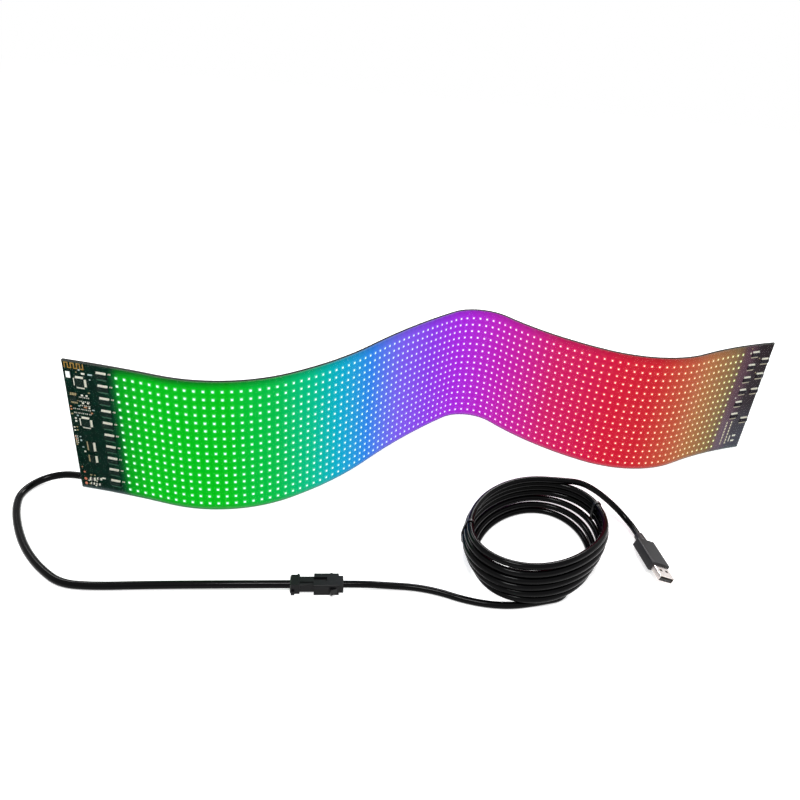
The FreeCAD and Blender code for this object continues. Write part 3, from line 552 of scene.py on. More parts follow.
def stacked_rings(rings):
    """Faces that join rings of equal point counts, with the last ring closed by a cap."""
    count = len(rings[0])
    points = [point for ring in rings for point in ring]
    faces = []
    for level in range(len(rings) - 1):
        for index in range(count):
            after = (index + 1) % count
            low = level * count
            faces.append([low + index, low + after, low + count + after, low + count + index])
    faces.append([len(points) - count + index for index in range(count)])
    return points, faces


def cut_rectangle(x, low, high, cut):
    """Corners of a rectangle about the axis with its four corners cut off."""
    rising = [(x, low + cut), (x, high - cut), (x - cut, high), (-x + cut, high)]
    return rising + [(-x, high - cut), (-x, low + cut), (-x + cut, low), (x - cut, low)]


def block_shape(length, width, height, edge):
    """Small block with a chamfered top, as a moulded or pressed part has."""
    def ring(inset, z):
        x = length / 2 - inset
        y = width / 2 - inset
        return [(*corner, z) for corner in cut_rectangle(x, -y, y, min(edge, x, y) * CORNER_SHARE)]
    return stacked_rings([ring(0, 0), ring(0, height - edge), ring(edge, height)])


print("shapes are set flat on the board and turned to its heading")

# %% [markdown]
# The board is a flexible circuit: polyimide with copper tracks under a coat of dark green
# solder mask. Between the lit packages it takes their colour, because the clear cover and the
# glossy mask spread the light. That glow is drawn as light coming from the board, with its
# colour read from the distance along the sheet.

# %% Sizes of the light grid
COLUMNS = 96
ROWS = 16
PITCH = 0.00635
GRID_LEFT = 0.041
GRID_LOW = 0.00665
GRID_RIGHT = GRID_LEFT + (COLUMNS - 1) * PITCH
GRID_HIGH = GRID_LOW + (ROWS - 1) * PITCH
BOARD = 0.0004
SOLDER_LIFT = 0.00003
BOARD_INSET = 0.0008
BOARD_CORNER = 0.0004

GLOW_STOPS = (
    (0.0000, "#000603"), (0.0280, "#000c06"), (0.0350, "#002c12"), (0.0385, "#00641a"),
    (0.0420, "#00a410"), (0.0600, "#00c00c"), (0.1200, "#00c410"), (0.1560, "#02c04c"),
    (0.1850, "#02c28c"), (0.2120, "#04aed0"), (0.2480, "#2e82ee"), (0.2900, "#7e5af2"),
    (0.3300, "#9238ec"), (0.3700, "#b020e2"), (0.4050, "#c41abe"), (0.4650, "#d61068"),
    (0.5200, "#da0838"), (0.5500, "#d4182e"), (0.6080, "#b26c40"), (0.6380, "#8a6844"),
    (0.6460, "#6c4e42"), (0.6490, "#583c46"), (0.6560, "#503642"), (0.6640, "#241c22"),
    (0.6800, "#0c0a0c"),
)
RING_STOPS = (
    (0.0410, "#8cf8b0"), (0.1700, "#60f0b0"), (0.2400, "#70d8f0"), (0.3000, "#9aa4ff"),
    (0.3700, "#c878ff"), (0.4300, "#f060c0"), (0.4900, "#ff3c50"), (0.5500, "#ff4a18"),
    (0.6000, "#e8a028"), (0.6450, "#c8d838"),
)
LENS_STOPS = (
    (0.0410, "#ffffff"), (0.2400, "#f4fbff"), (0.3300, "#fbf4ff"), (0.4200, "#fff0ff"),
    (0.4700, "#ffe6f2"), (0.5200, "#ffe2d0"), (0.5700, "#fff0d4"), (0.6450, "#fffff0"),
)


def sheet_place(tree):
    """Distance along the sheet and height on it, in metres, as two outputs."""
    place = add_node(tree, "UVMap", uv_map="sheet_place")
    parts = add_node(tree, "SeparateXYZ", {0: place.outputs[0]})
    return parts.outputs["X"], parts.outputs["Y"]


def colour_ramp(tree, share, steps):
    """Colour at a share from nought to one, from a list of positions and colours."""
    ramp = add_node(tree, "ValToRGB", {"Fac": share})
    stops = ramp.color_ramp.elements
    while len(stops) < len(steps):
        stops.new(0.5)
    for stop, (position, colour) in zip(stops, steps):
        stop.position = position
    for stop, (position, colour) in zip(stops, steps):
        stop.color = linear(colour)
    return ramp.outputs["Color"]


def along_colour(tree, along, steps):
    """Colour at a distance along the sheet, from a list of distances and colours."""
    share = span_share(tree, along, (0.0, SHEET_LENGTH))
    stops = [(distance / SHEET_LENGTH, colour) for distance, colour in steps]
    return colour_ramp(tree, share, stops)


def from_nearest_light(tree, value, first):
    """Distance from the middle of the nearest column or row of lights."""
    steps = calculate(tree, "DIVIDE", calculate(tree, "SUBTRACT", value, first), PITCH)
    inside = calculate(tree, "FRACT", calculate(tree, "ADD", steps, 0.5))
    aside = calculate(tree, "ABSOLUTE", calculate(tree, "SUBTRACT", inside, 0.5))
    return calculate(tree, "MULTIPLY", aside, PITCH)


print("light grid from", GRID_LEFT, "to", round(GRID_RIGHT, 4), "m along the sheet")

# %% [markdown]
# The glow is a product of two soft bells. One stands round each light and lifts the colour a
# little there. The other falls off past the first and last rows, faster at the driver end.
# Under it lies the mask's colour: tracks of copper that show through it as slightly
# lighter cells, a grey tail end that pales towards the table as a painted sheen, and a
# painted glint along the bottom edge.

# %% Lit solder mask
BETWEEN_LIGHTS = 1.0
NEAR_LIGHTS = 0.14
HALO = 0.0019
MARGIN_FADE_LEFT = 0.0055
MARGIN_FADE_RIGHT = 0.0110
MARGIN_FADE_SPAN = (0.08, 0.26)
MASK_SHINE = 0.02
# Share and reach of a painted glint along the board's bottom edge.
PAINTED_RIM_GLINT = 0.75
PAINTED_RIM_GLINT_REACH = 0.0022
TRACK_SCALE = 260.0
TRACK_STRAY = 0.6
TRACK_STOPS = ((0.30, "#07291f"), (0.36, "#041d16"))
# Charcoal tone of the tail end, paler towards the bottom as a painted sheen.
TAIL_TONE_AND_SHEEN_STOPS = ((0.05, "#52545e"), (0.45, "#342e32"), (0.95, "#241c1e"))
TAIL_FADE = (GRID_RIGHT - 0.004, GRID_RIGHT + 0.006)


def bell(tree, distance, width):
    """A soft bell curve: one at no distance, a third at the width."""
    ratio = calculate(tree, "DIVIDE", distance, width)
    fall = calculate(tree, "MULTIPLY", calculate(tree, "MULTIPLY", ratio, ratio), -1.0)
    return calculate(tree, "EXPONENT", fall)


lit_mask, tree = new_material("dark_solder_mask_over_copper")
along, height = sheet_place(tree)
aside = from_nearest_light(tree, along, GRID_LEFT)
above = from_nearest_light(tree, height, GRID_LOW)
squares = [calculate(tree, "POWER", distance, 2.0) for distance in (aside, above)]
reach = calculate(tree, "SQRT", calculate(tree, "ADD", *squares))
halo = calculate(tree, "MULTIPLY", bell(tree, reach, HALO), NEAR_LIGHTS)
level = calculate(tree, "ADD", halo, BETWEEN_LIGHTS)
below = calculate(tree, "SUBTRACT", GRID_LOW, height)
over = calculate(tree, "SUBTRACT", height, GRID_HIGH)
margin = calculate(tree, "MAXIMUM", calculate(tree, "MAXIMUM", below, over), 0.0)
fade = span_share(tree, along, MARGIN_FADE_SPAN, MARGIN_FADE_LEFT, MARGIN_FADE_RIGHT)
glow = calculate(tree, "MULTIPLY", level, bell(tree, margin, fade))

track_place = add_node(tree, "CombineXYZ", {"X": along, "Y": height})
cells = {"Vector": track_place.outputs[0], "Scale": TRACK_SCALE, "Randomness": TRACK_STRAY}
pour = add_node(tree, "TexVoronoi", cells, feature="F1", distance="CHEBYCHEV")
tracks = colour_ramp(tree, pour.outputs["Distance"], TRACK_STOPS)
# The tail end keeps a charcoal tone that turns paler towards the bottom: a painted sheen.
tail_tone_and_sheen = colour_ramp(tree, span_share(tree, height, (0.0, SHEET_HEIGHT)), TAIL_TONE_AND_SHEEN_STOPS)
tail_share = span_share(tree, along, TAIL_FADE)
mask_and_painted_sheen = add_node(tree, "MixRGB", {"Fac": tail_share, "Color1": tracks, "Color2": tail_tone_and_sheen})
# Painted glint: the mask's colour turns grey-blue towards the bottom edge, where the cover's rim
# catches light.
glint = {
    "Fac": calculate(tree, "MULTIPLY", bell(tree, height, PAINTED_RIM_GLINT_REACH), PAINTED_RIM_GLINT),
    "Color1": mask_and_painted_sheen.outputs[0],
    "Color2": linear("#6c7c7e"),
}
mask_and_painted_sheen = add_node(tree, "MixRGB", glint)
finish_plain(
    tree,
    {
        "Base Color": mask_and_painted_sheen.outputs[0],
        "Roughness": 0.45,
        "IOR": 1.52,
        "Specular IOR Level": MASK_SHINE,
        "Emission Color": along_colour(tree, along, GLOW_STOPS),
        "Emission Strength": glow,
    },
)
print("glow between lights", BETWEEN_LIGHTS, "and", NEAR_LIGHTS, "more near them")

# %% [markdown]
# The board itself is drawn again as a slab that follows the wave in short steps, because it
# has to carry its place on the sheet at every corner. It stands proud of the solid by a hair.

# %% Lit board
BOARD_STEPS = 340
BOARD_PROUD = 0.000005


def board_slab():
    """The board as a bent slab with rounded corners, cut into short columns along the wave."""
    low = BOARD_INSET
    high = SHEET_HEIGHT - BOARD_INSET
    first = BOARD_INSET
    last = SHEET_LENGTH - BOARD_INSET
    points, faces, spots = [], [], []
    for index in range(BOARD_STEPS + 1):
        along = first + (last - first) * index / BOARD_STEPS
        gap = min(along - first, last - along, BOARD_CORNER)
        drop = BOARD_CORNER - math.sqrt(BOARD_CORNER ** 2 - (BOARD_CORNER - gap) ** 2)
        foot, top = low + drop, high - drop
        for depth, height in ((BOARD, foot), (BOARD, top), (0.0, top), (0.0, foot)):
            points.append(on_sheet(along, depth + BOARD_PROUD, height)[0])
            spots.append((along, height))
    for index in range(BOARD_STEPS):
        base = index * 4
        for side in range(4):
            other = (side + 1) % 4
            faces.append([base + side, base + other, base + 4 + other, base + 4 + side])
    faces.append([3, 2, 1, 0])
    faces.append([BOARD_STEPS * 4 + side for side in range(4)])
    return points, faces, spots


slab = FlatShapes()
slab.points, slab.faces, slab.spots = board_slab()
slab.kinds = [0] * len(slab.faces)
board = slab.piece("lit_board")
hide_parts("flex_board")
dress(board, lit_mask)
print("board has", len(slab.faces), "faces")

# %% [markdown]
# Each light is a square white resin frame with a clear lens over three tiny lamps. At this
# brightness the lens burns out to white and the frame takes the colour. The frame and the lens
# are one small shape of stacked rings, square below and round above, repeated 1,536 times.

# %% Light packages
BLOCK_COLUMNS = 16
LENS_CORNERS = 8
# Half width and height in millimetres, and how round the ring is, from square to circle.
LIGHT_PROFILE = (
    (1.2, 0.0, 0.0),
    (1.2, 0.62, 0.0),
    (1.08, 0.70, 0.1),
    (0.86, 0.66, 0.9),
    (0.66, 0.84, 1.0),
    (0.34, 0.90, 1.0),
)


def light_shape():
    """Square frame that turns into a round lens, from the board up to the lens's top."""
    rings = []
    for half, z, roundness in LIGHT_PROFILE:
        ring = []
        for corner in range(LENS_CORNERS):
            angle = math.radians(360 / LENS_CORNERS * corner)
            round_x, round_y = math.cos(angle), math.sin(angle)
            longest = max(abs(round_x), abs(round_y))
            square_x, square_y = round_x / longest, round_y / longest
            x = square_x * (1 - roundness) + round_x * roundness
            y = square_y * (1 - roundness) + round_y * roundness
            ring.append((x * half * MM, y * half * MM, z * MM))
        rings.append(ring)
    return stacked_rings(rings)


light_points, light_faces = light_shape()
frame_faces = 2 * LENS_CORNERS
light_kinds = [0] * frame_faces + [1] * frame_faces + [2] * (len(light_faces) - 2 * frame_faces)


def lit_resin(name, steps, strength):
    """Lit resin, in the colour that its place on the sheet gives."""
    material, tree = new_material(name)
    along, height = sheet_place(tree)
    finish_plain(
        tree,
        {
            "Base Color": linear("#50504e"),
            "Roughness": 0.4,
            "IOR": 1.53,
            "Specular IOR Level": MASK_SHINE,
            "Emission Color": along_colour(tree, along, steps),
            "Emission Strength": strength,
        },
    )
    return material


lit_frame = lit_resin("white_resin_frame_lit_by_the_glow", GLOW_STOPS, 0.95)
lit_rim = lit_resin("frame_rim_beside_the_lens", RING_STOPS, 1.0)
lit_lens = lit_resin("clear_lens_burning_out", LENS_STOPS, 1.6)
for number in range(COLUMNS // BLOCK_COLUMNS):
    lights = FlatShapes()
    for column in range(number * BLOCK_COLUMNS, (number + 1) * BLOCK_COLUMNS):
        for row in range(ROWS):
            lights.add(
                light_points,
                light_faces,
                GRID_LEFT + column * PITCH,
                GRID_LOW + row * PITCH,
                BOARD + SOLDER_LIFT,
                kinds=light_kinds,
            )
    block = lights.piece("lit_packages_%d" % (number + 1))
    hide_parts("light_block_%d" % (number + 1))
    dress(block, lit_frame, lit_rim, lit_lens)
print("lights:", COLUMNS * ROWS, "of", len(light_faces), "faces each")

# %% [markdown]
# Chips stand on rows of gull-wing leads: thin tinned strips that leave the body at half its
# height, bend down and end in a flat foot. Each lead is one bent strip with its own thickness.
# Lead spacing runs from 0.5 mm on the square chips to 1.27 mm on the memory chip.

# %% Gull-wing leads
# All in millimetres. A lead has its root in the body, a shoulder, a heel and a foot.
LEAD_THICK = 0.15
LEAD_ROOT = 0.05
SHOULDER = 0.22
HEEL_RISE = 0.04
HEEL_RUN = 0.12
FOOT = 0.7
BODY_LIFT = 0.1
LAND_BEHIND = 0.15
LAND_AHEAD = 0.45
LAND_SIDE = 0.03
LAND_THICK = 0.02


def lead_shape(package, wide):
    """One bent lead of a package, beside the body's long side, in metres."""
    length, width, span, height = package
    shoulder = BODY_LIFT + (height - BODY_LIFT) / 2 + LEAD_THICK / 2
    top = [(width / 2 - LEAD_ROOT, shoulder), (width / 2 + SHOULDER, shoulder)]
    top += [(span / 2 - FOOT, LEAD_THICK + HEEL_RISE)]
    top += [(span / 2 - FOOT + HEEL_RUN, LEAD_THICK), (span / 2, LEAD_THICK)]
    under = [(y - LEAD_ROOT, z - LEAD_THICK) for y, z in top[:-1]] + [(span / 2, 0.0)]
    points = []
    for x in (-wide / 2, wide / 2):
        points += [(x * MM, y * MM, z * MM) for y, z in top]
        points += [(x * MM, y * MM, max(z, 0.0) * MM) for y, z in under]
    count = len(top)
    both = 2 * count
    faces = []
    for index in range(count - 1):
        lower, far = count + index, both + index
        faces.append([index, index + 1, far + 1, far])
        faces.append([lower, both + lower, both + lower + 1, lower + 1])
        faces.append([index, lower, lower + 1, index + 1])
        faces.append([far, far + 1, both + lower + 1, both + lower])
    faces.append([count - 1, both - 1, 2 * both - 1, both + count - 1])
    return points, faces


def add_leads(shapes, package, per_row, spacing, wide, places, turn=0.0, tones=(0, 1)):
    """The leads of one kind of chip at all its places, with one tone for each side, so that a side
    in shade can take a darker tin as painted shade.
    """
    tip = package[2] / 2
    half = (wide / 2 + LAND_SIDE) * MM
    low = (tip - FOOT - LAND_BEHIND) * MM
    high = (tip + LAND_AHEAD) * MM
    corners = ((-half, low), (half, low), (half, high), (-half, high))
    land = [(x, y, LAND_THICK * MM) for x, y in corners]
    drawn = (lead_shape(package, wide), (land, [(0, 1, 2, 3)]))
    for along, height in places:
        for side, tone in enumerate(tones):
            way = turn + side * 360.0 / len(tones)
            for index in range(per_row):
                offset = (index - (per_row - 1) / 2) * spacing * MM
                for points, faces in drawn:
                    moved = [(x + offset, y, z) for x, y, z in points]
                    lift = BOARD + SOLDER_LIFT
                    shapes.add(moved, faces, along, height, lift, turn=way, kind=tone)


NARROW_CHIP = (8.65, 3.9, 6.0, 1.15)
WIDE_CHIP = (5.2, 5.2, 7.9, 1.15)
SLIM_CHIP = (6.5, 4.4, 6.4, 1.0)
QUAD_CHIP = (7.0, 7.0, 9.0, 1.1)
DRIVER_PLACES = [(0.0293, 0.00925 + 0.01017 * index) for index in range(10)]
QUAD_PLACES = [(0.012, 0.0599), (0.012, 0.0931)]
MEMORY_PLACE = (0.0054, 0.07955)
SWITCH_PLACE = (0.0132, 0.039575)
GATE_PLACE = (0.0132, 0.0286)
TAIL_ROW_PLACES = [(GRID_RIGHT + 0.0164, 0.0370 + 0.0126 * index) for index in range(6)]
TAIL_EDGE_PLACES = [(SHEET_LENGTH - 0.0056, height) for height in (0.0310, 0.0617, 0.0774, 0.0922)]

# The tones give each side of a chip its tin. Sides in light keep the bright tin. Darker tins paint
# shade on the lower rows of the driver and tail chips and on one side of the switch and gate
# chips.
left_leads = FlatShapes()
add_leads(left_leads, NARROW_CHIP, 12, 0.635, 0.44, DRIVER_PLACES, tones=(0, 2))
add_leads(left_leads, QUAD_CHIP, 12, 0.5, 0.36, QUAD_PLACES, tones=(0, 0, 0, 0))
add_leads(left_leads, WIDE_CHIP, 4, 1.27, 0.8, [MEMORY_PLACE], tones=(1, 1))
add_leads(left_leads, NARROW_CHIP, 12, 0.635, 0.44, [SWITCH_PLACE], turn=90, tones=(1, 0))
add_leads(left_leads, SLIM_CHIP, 9, 0.65, 0.44, [GATE_PLACE], turn=90, tones=(1, 0))
tail_leads = FlatShapes()
tail_places = TAIL_ROW_PLACES + TAIL_EDGE_PLACES
add_leads(tail_leads, NARROW_CHIP, 12, 0.635, 0.44, tail_places, tones=(0, 1))


def plated_metal(name, dark, pale, grain, roughness, metallic=1.0):
    """Tin, gilding or nickel: a thin skin of metal that is a little uneven from place to place."""
    material, tree = new_material(name)
    tone, noise = two_tones(tree, dark, pale, {"Scale": 1 / grain, "Detail": 2.0})
    finish_plain(tree, {"Base Color": tone, "Metallic": metallic, "Roughness": roughness})
    return material


bright_tin = plated_metal("bright_tin", "#efe6c8", "#fffffa", 0.0012, 0.4, 0.1)
# A warm tin: the own tone of the memory chip's leads and of some small parts, and painted shade on
# one side of the switch and gate chips.
warm_and_shaded_tin = plated_metal("warm_tin_and_painted_side_shade", "#8c7446", "#cfc094", 0.0012, 0.45, 0.4)
# Painted shade: the tail chips' lower lead rows take this dimmer tin.
tin_with_painted_shade = plated_metal("tin_with_painted_shade", "#b4a888", "#e6dcc4", 0.0012, 0.45, 0.1)
# Painted shade: the driver chips' lower lead rows get this dark green tin, standing for the chips'
# shade and the green light of the board.
painted_shade_green_tin = plated_metal("tin_with_painted_green_shade", "#0e4530", "#2a7852", 0.0016, 0.5, 0.2)

# The second and third tins of each piece are the darker ones that paint shade on the shaded sides.
for shapes, name, node, shaded_side_tin in (
    (left_leads, "gull_wing_leads", "chip_leads", warm_and_shaded_tin),
    (tail_leads, "tail_gull_wing_leads", "tail_chip_leads", tin_with_painted_shade),
):
    rows = shapes.piece(name)
    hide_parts(node)
    dress(rows, bright_tin, shaded_side_tin, painted_shade_green_tin)
    print(name, len(rows.data.polygons), "faces")

# %% [markdown]
# Chip resistors and capacitors are small fired bricks with a metal cap on each end. The fuse
# and the diode at the power inlet are the same kind of brick, only larger. A ring of points is
# carried along the brick, a little wider over the caps.

# %% Bricks with metal ends
BRICK_CUT = 0.12
CAP_SHARE = 0.24
CAP_PROUD = 0.04
CAP_EDGE = 0.03


def capped_brick(length, width, height):
    """Brick with proud end caps, and for each face whether it is cap or body."""
    def ring(x, inset):
        outline = cut_rectangle(width / 2 - inset, inset, height - inset, BRICK_CUT * height)
        return [(x * MM, y * MM, z * MM) for y, z in outline]
    end = length / 2
    cap = CAP_SHARE * length
    slim = CAP_PROUD * height
    rings = [ring(-end, slim), ring(-end + CAP_EDGE, 0)]
    rings += [ring(-end + cap, 0), ring(-end + cap, slim)]
    rings += [ring(end - cap, slim), ring(end - cap, 0), ring(end - CAP_EDGE, 0), ring(end, slim)]
    points, faces = stacked_rings(rings)
    sides = len(rings[0])
    faces.append(list(range(sides - 1, -1, -1)))
    kinds = [1] * 3 * sides + [0] * sides + [1] * (3 * sides + 2)
    return points, faces, kinds


def brick_piece(name, node, sizes_and_places):
    shapes = FlatShapes()
    for size, places in sizes_and_places:
        points, faces, kinds = capped_brick(*size)
        for along, height in places:
            shapes.add(points, faces, along, height, BOARD + SOLDER_LIFT, kinds=kinds)
    piece = shapes.piece(name)
    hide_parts(node)
    return piece


RESISTOR_FIRST = 0.0048
SHORT_LINE_FIRST = 0.0106
RESISTOR_STEP = 0.0029
RESISTOR_LOWEST = 0.0676
RESISTOR_LINE_STEP = 0.0034
EDGE_COLUMN = 0.0028
EDGE_STEP = 0.0019
BYPASS_OFFSET = (0.0066, 0.0029)
RESISTOR_PLACES = []
for line in range(5):
    first, count = (RESISTOR_FIRST, 5) if line < 2 else (SHORT_LINE_FIRST, 3)
    height = RESISTOR_LOWEST + RESISTOR_LINE_STEP * line
    RESISTOR_PLACES += [(first + RESISTOR_STEP * step, height) for step in range(count)]
RESISTOR_PLACES += [(EDGE_COLUMN, SWITCH_PLACE[1] + EDGE_STEP * (step + 1)) for step in range(4)]
BYPASS_PLACES = [
    (along + BYPASS_OFFSET[0], height + BYPASS_OFFSET[1]) for along, height in DRIVER_PLACES
]

resistors = brick_piece("chip_resistors", "resistors", [((1.6, 0.8, 0.5), RESISTOR_PLACES)])
bypass = brick_piece("chip_capacitors", "bypass_capacitors", [((1.6, 0.9, 0.7), BYPASS_PLACES)])
inlet = brick_piece(
    "inlet_bricks",
    "inlet_parts",
    [
        ((4.4, 2.6, 1.2), [(0.0106, 0.0098)]),
        ((3.6, 1.8, 1.1), [(0.0162, 0.0110)]),
        ((3.0, 1.6, 0.9), [(0.0099, 0.0056), (0.0145, 0.0056)]),
    ],
)


def fired_ceramic(name, dark, pale):
    """Fired ceramic or glazed resistor paste: a fine speckle of two near tones."""
    material, tree = new_material(name)
    tone, noise = two_tones(tree, dark, pale, {"Scale": 3000.0, "Detail": 3.0}, on_object=False)
    finish_plain(tree, {"Base Color": tone, "Roughness": 0.45, "IOR": 1.6})
    return material


dress(resistors, fired_ceramic("glazed_black_resistor_paste", "#0b1512", "#15211d"), bright_tin)
dress(bypass, fired_ceramic("fired_tan_ceramic", "#7d6545", "#9a8060"), bright_tin)
dress(inlet, fired_ceramic("glazed_dark_ceramic", "#1a1c1c", "#2c2e2c"), bright_tin)
print("bricks:", len(RESISTOR_PLACES), "resistors and", len(BYPASS_PLACES), "capacitors")

# %% [markdown]
# Between the larger chips lie dozens of tiny parts. From the camera only their tinned ends
# show, as bright, warm or bluish dots. Each is a low block with a chamfered top: distance along
# the sheet, height, length and width in millimetres, and the finish.

# %% Smallest parts
SMALL_PARTS = (
    (12.6, 103.2, 1.2, 0.9, 3), (15.3, 100.6, 2.6, 1.3, 0), (20.6, 100.6, 3.4, 1.1, 3),
    (10.3, 101.2, 0.8, 0.8, 1), (20.0, 96.6, 1.0, 0.8, 3), (12.1, 82.8, 1.5, 1.3, 0),
    (15.7, 82.9, 1.4, 1.2, 0), (17.9, 85.6, 1.3, 0.8, 1), (12.0, 76.4, 1.4, 1.2, 0),
    (15.9, 76.8, 1.4, 1.1, 0), (16.4, 72.9, 1.2, 1.0, 0), (13.4, 73.0, 2.4, 0.8, 2),
    (19.4, 71.7, 1.8, 0.7, 3), (8.2, 77.9, 1.0, 0.8, 1), (8.6, 73.6, 1.2, 0.9, 3),
    (17.9, 68.9, 1.3, 1.0, 2), (6.3, 65.2, 1.4, 0.9, 3), (2.0, 72.3, 1.2, 1.0, 2),
    (2.1, 70.0, 1.1, 0.9, 2), (2.1, 66.1, 1.3, 1.1, 1), (4.4, 62.7, 1.4, 1.2, 0),
    (4.3, 60.2, 1.4, 1.2, 0), (4.3, 55.2, 1.1, 0.9, 1), (2.2, 54.7, 1.2, 1.0, 0),
    (2.3, 52.0, 1.2, 1.0, 0), (4.3, 52.5, 1.1, 0.9, 1), (1.9, 46.7, 1.0, 1.3, 2),
    (2.0, 44.3, 1.0, 1.2, 2), (2.1, 41.9, 1.0, 1.4, 1), (2.1, 39.7, 1.0, 1.2, 1),
    (5.6, 46.9, 1.2, 0.8, 3), (5.8, 43.7, 1.2, 1.4, 3), (6.6, 37.9, 1.3, 0.9, 3),
    (7.6, 34.2, 1.4, 1.2, 0), (3.0, 19.6, 0.9, 0.9, 2), (9.3, 13.2, 1.8, 0.8, 1),
    (6.9, 7.6, 1.0, 1.0, 0), (13.4, 8.0, 1.1, 0.9, 0), (7.3, 4.6, 1.1, 0.9, 1),
    (12.2, 3.6, 1.3, 0.8, 0), (19.6, 11.9, 2.8, 1.1, 0), (12.3, 13.3, 1.0, 0.8, 1),
    (654.6, 101.8, 1.2, 1.4, 0), (654.6, 106.2, 1.0, 0.9, 1), (655.0, 56.7, 1.2, 1.0, 0),
    (654.4, 69.0, 1.1, 1.0, 1), (667.4, 95.6, 1.1, 0.9, 1), (668.6, 81.2, 0.9, 0.9, 1),
    (665.2, 11.6, 0.8, 6.6, 0), (669.9, 14.4, 3.6, 1.6, 0), (669.9, 8.8, 3.6, 1.6, 0),
)
SMALL_RISE = 0.00035
SMALL_EDGE = 0.00012

small = FlatShapes()
for along, height, length, width, finish in SMALL_PARTS:
    points, faces = block_shape(length * MM, width * MM, SMALL_RISE, SMALL_EDGE)
    small.add(points, faces, along * MM, height * MM, BOARD + SOLDER_LIFT, kind=finish)
small = small.piece("smallest_parts")
bare_copper = plated_metal("bare_copper_lands", "#a8562c", "#eaa878", 0.0010, 0.4, 0.5)
pale_glass = plated_metal("pale_glazed_bodies", "#88a8a4", "#dcecec", 0.0010, 0.35, 0.1)
dress(small, bright_tin, warm_and_shaded_tin, bare_copper, pale_glass)
print("smallest parts:", len(SMALL_PARTS))

# %% [markdown]
# Solder wets a pad and draws up into a low mound, steep at the wire and flat at the rim. It is
# a turned shape: a falling curve of radii, carried round by rings of points.

# %% Solder mounds
MOUND_CORNERS = 16
MOUND_PROFILE = ((1.0, 0.0), (0.86, 0.22), (0.66, 0.5), (0.42, 0.8), (0.2, 0.97))
MOUND_COLUMN = 0.0042
# Radius and rise in millimetres, and height on the sheet in metres.
MOUNDS = ((1.25, 0.9, 0.0045), (1.25, 0.9, 0.0087), (0.8, 0.6, 0.0150))


def mound_shape(radius, rise):
    rings = []
    for share, height in MOUND_PROFILE:
        ring = []
        for corner in range(MOUND_CORNERS):
            angle = math.radians(360 / MOUND_CORNERS * corner)
            reach = radius * share * MM
            ring.append((reach * math.cos(angle), reach * math.sin(angle), rise * height * MM))
        rings.append(ring)
    return stacked_rings(rings)


mounds = FlatShapes()
for radius, rise, height in MOUNDS:
    points, faces = mound_shape(radius, rise)
    mounds.add(points, faces, MOUND_COLUMN, height, BOARD + SOLDER_LIFT)
mounds = mounds.piece("solder_mounds", smooth=True)
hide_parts("solder_joints")
solder, tree = new_material("solder_over_copper")
speckle = {"Scale": 900.0, "Detail": 2.0}
tone, noise = two_tones(tree, "#a03c20", "#f0a080", speckle, on_object=False)
finish_plain(tree, {"Base Color": tone, "Metallic": 1.0, "Roughness": 0.3})
dress(mounds, solder)
print("solder mounds:", len(MOUNDS))

# %% [markdown]
# The other solids are true to the object as they are and only need a finish. Chips are
# moulded in epoxy, the connector in nylon and the plug's grip in vinyl. A fine grain in each
# breaks the shine a little.

# %% Finishes of the parts that keep their solids
def moulded_plastic(name, dark, pale, roughness, grain, bump, ior=1.5, shine=0.5):
    """Moulded plastic or rubber: two near tones and a fine grain that breaks the shine."""
    material, tree = new_material(name)
    tone, noise = two_tones(tree, dark, pale, {"Scale": 1 / grain, "Detail": 3.0})
    relief = add_node(tree, "Bump", {"Height": noise, "Strength": bump, "Distance": grain * 0.1})
    finish_plain(
        tree,
        {
            "Base Color": tone,
            "Roughness": roughness,
            "IOR": ior,
            "Specular IOR Level": shine,
            "Normal": relief.outputs[0],
        },
    )
    return material


jacket = moulded_plastic(
    "glossy_black_vinyl_jacket", "#020203", "#040405", 0.16, 0.0008, 0.03, ior=1.53, shine=0.07
)
dress(power_lead, jacket)
dress(supply_cord, jacket)
strap = moulded_plastic("soft_black_strap", "#0a0a0b", "#141415", 0.35, 0.0004, 0.2, shine=0.3)
dress(coil_straps, strap)

epoxy = moulded_plastic("moulded_black_epoxy", "#081c16", "#0e261f", 0.6, 0.0002, 0.3, shine=0.08)
tail_epoxy = moulded_plastic(
    "moulded_charcoal_epoxy", "#211c23", "#2b262d", 0.6, 0.0002, 0.3, shine=0.08
)
nylon = moulded_plastic(
    "moulded_black_nylon", "#080809", "#101012", 0.34, 0.0005, 0.2, ior=1.53, shine=0.12
)
film = moulded_plastic(
    "matt_black_silicone_film", "#0e0e10", "#161618", 0.6, 0.0006, 0.4, ior=1.41, shine=0.25
)
vinyl = moulded_plastic(
    "satin_charcoal_vinyl", "#17181a", "#1f2023", 0.42, 0.0005, 0.25, ior=1.53, shine=0.25
)
insulator = moulded_plastic("black_insulating_tongue", "#101010", "#1c1c1c", 0.4, 0.0005, 0.2)
can = plated_metal("drawn_bright_can", "#d8d8d2", "#f6f6f2", 0.001, 0.3)
track = plated_metal("gilded_copper_track", "#7a5a28", "#b8904a", 0.002, 0.5)
pads = plated_metal("tinned_bare_pads", "#cdc5a6", "#e9e2c8", 0.001, 0.4)
nickel = plated_metal("folded_nickelled_steel", "#dcd2ce", "#f1eae6", 0.004, 0.24)
gilding = plated_metal("gilded_contacts", "#b8913f", "#e0bd6c", 0.002, 0.25)
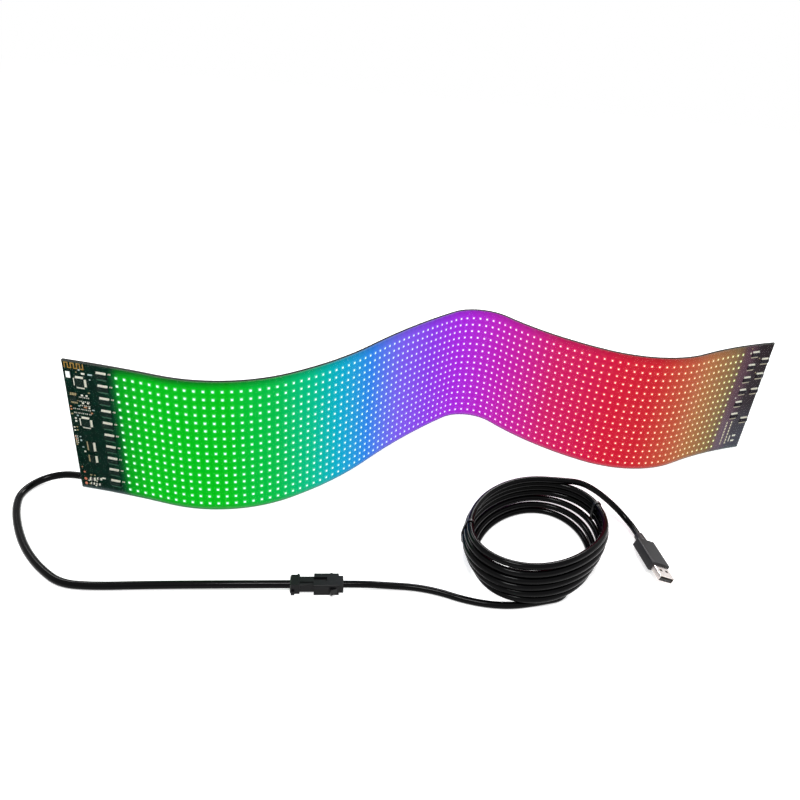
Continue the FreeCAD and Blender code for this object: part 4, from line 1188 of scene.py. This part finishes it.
for finish, names in (
    (epoxy, ("driver_chips", "square_chips", "memory_chip", "switch_chip", "gate_chip")),
    (tail_epoxy, ("tail_row_chips", "tail_edge_chips")),
    (nylon, ("socket_housing", "shroud_housing", "lead_anchor")),
    (gilding, ("socket_terminals", "pin_terminals", "plug_contacts")),
    (film, ("rear_film",)),
    (vinyl, ("plug_grip",)),
    (insulator, ("plug_tongue",)),
    (can, ("crystal_can",)),
    (track, ("antenna_trace",)),
    (pads, ("link_pads",)),
    (nickel, ("plug_shell",)),
):
    for name in names:
        dress(nodes[name], finish)
    print(finish.name, "on", ", ".join(names))

# %% [markdown]
# The cover is soft clear silicone. Its front reflects a little more at a flat angle and lets
# the rest straight through. A mix of a see-through and a glossy shader, weighed by Fresnel,
# gives that without bending rays between the lights. Rear faces are left clear so that the
# skin isn't counted twice.

# %% Clear cover
SILICONE_IOR = 1.41
COVER_SHINE = 0.05
RIM_FROST = 0.03
STEEP_UP = 0.7

clear_cover, tree = new_material("clear_silicone_skin")
fresnel = add_node(tree, "Fresnel", {"IOR": SILICONE_IOR})
side = add_node(tree, "NewGeometry")
front_only = calculate(tree, "SUBTRACT", 1.0, side.outputs["Backfacing"])
share = calculate(tree, "MULTIPLY", fresnel.outputs[0], front_only)
share = calculate(tree, "MULTIPLY", share, COVER_SHINE)
through = add_node(tree, "BsdfTransparent", {"Color": linear("#fbfcfc")})
shine = add_node(tree, "BsdfGlossy", {"Color": linear("#ffffff"), "Roughness": 0.12})
skin = add_node(tree, "MixShader", {0: share, 1: through.outputs[0], 2: shine.outputs[0]})

# The cut rim was left rough by the knife, so it scatters light and shows as a pale line.
facing = add_node(tree, "SeparateXYZ", {0: side.outputs["Normal"]})
steep = calculate(tree, "ABSOLUTE", facing.outputs["Z"])
frosted = calculate(tree, "MULTIPLY", calculate(tree, "GREATER_THAN", steep, STEEP_UP), RIM_FROST)
frost = add_node(tree, "BsdfDiffuse", {"Color": linear("#e6ece2")})
mixed = {0: frosted, 1: skin.outputs[0], 2: frost.outputs[0]}
finish_surface(tree, add_node(tree, "MixShader", mixed))
dress(nodes["clear_cover"], clear_cover)
print("cover mirrors", COVER_SHINE, "of what bare silicone would")
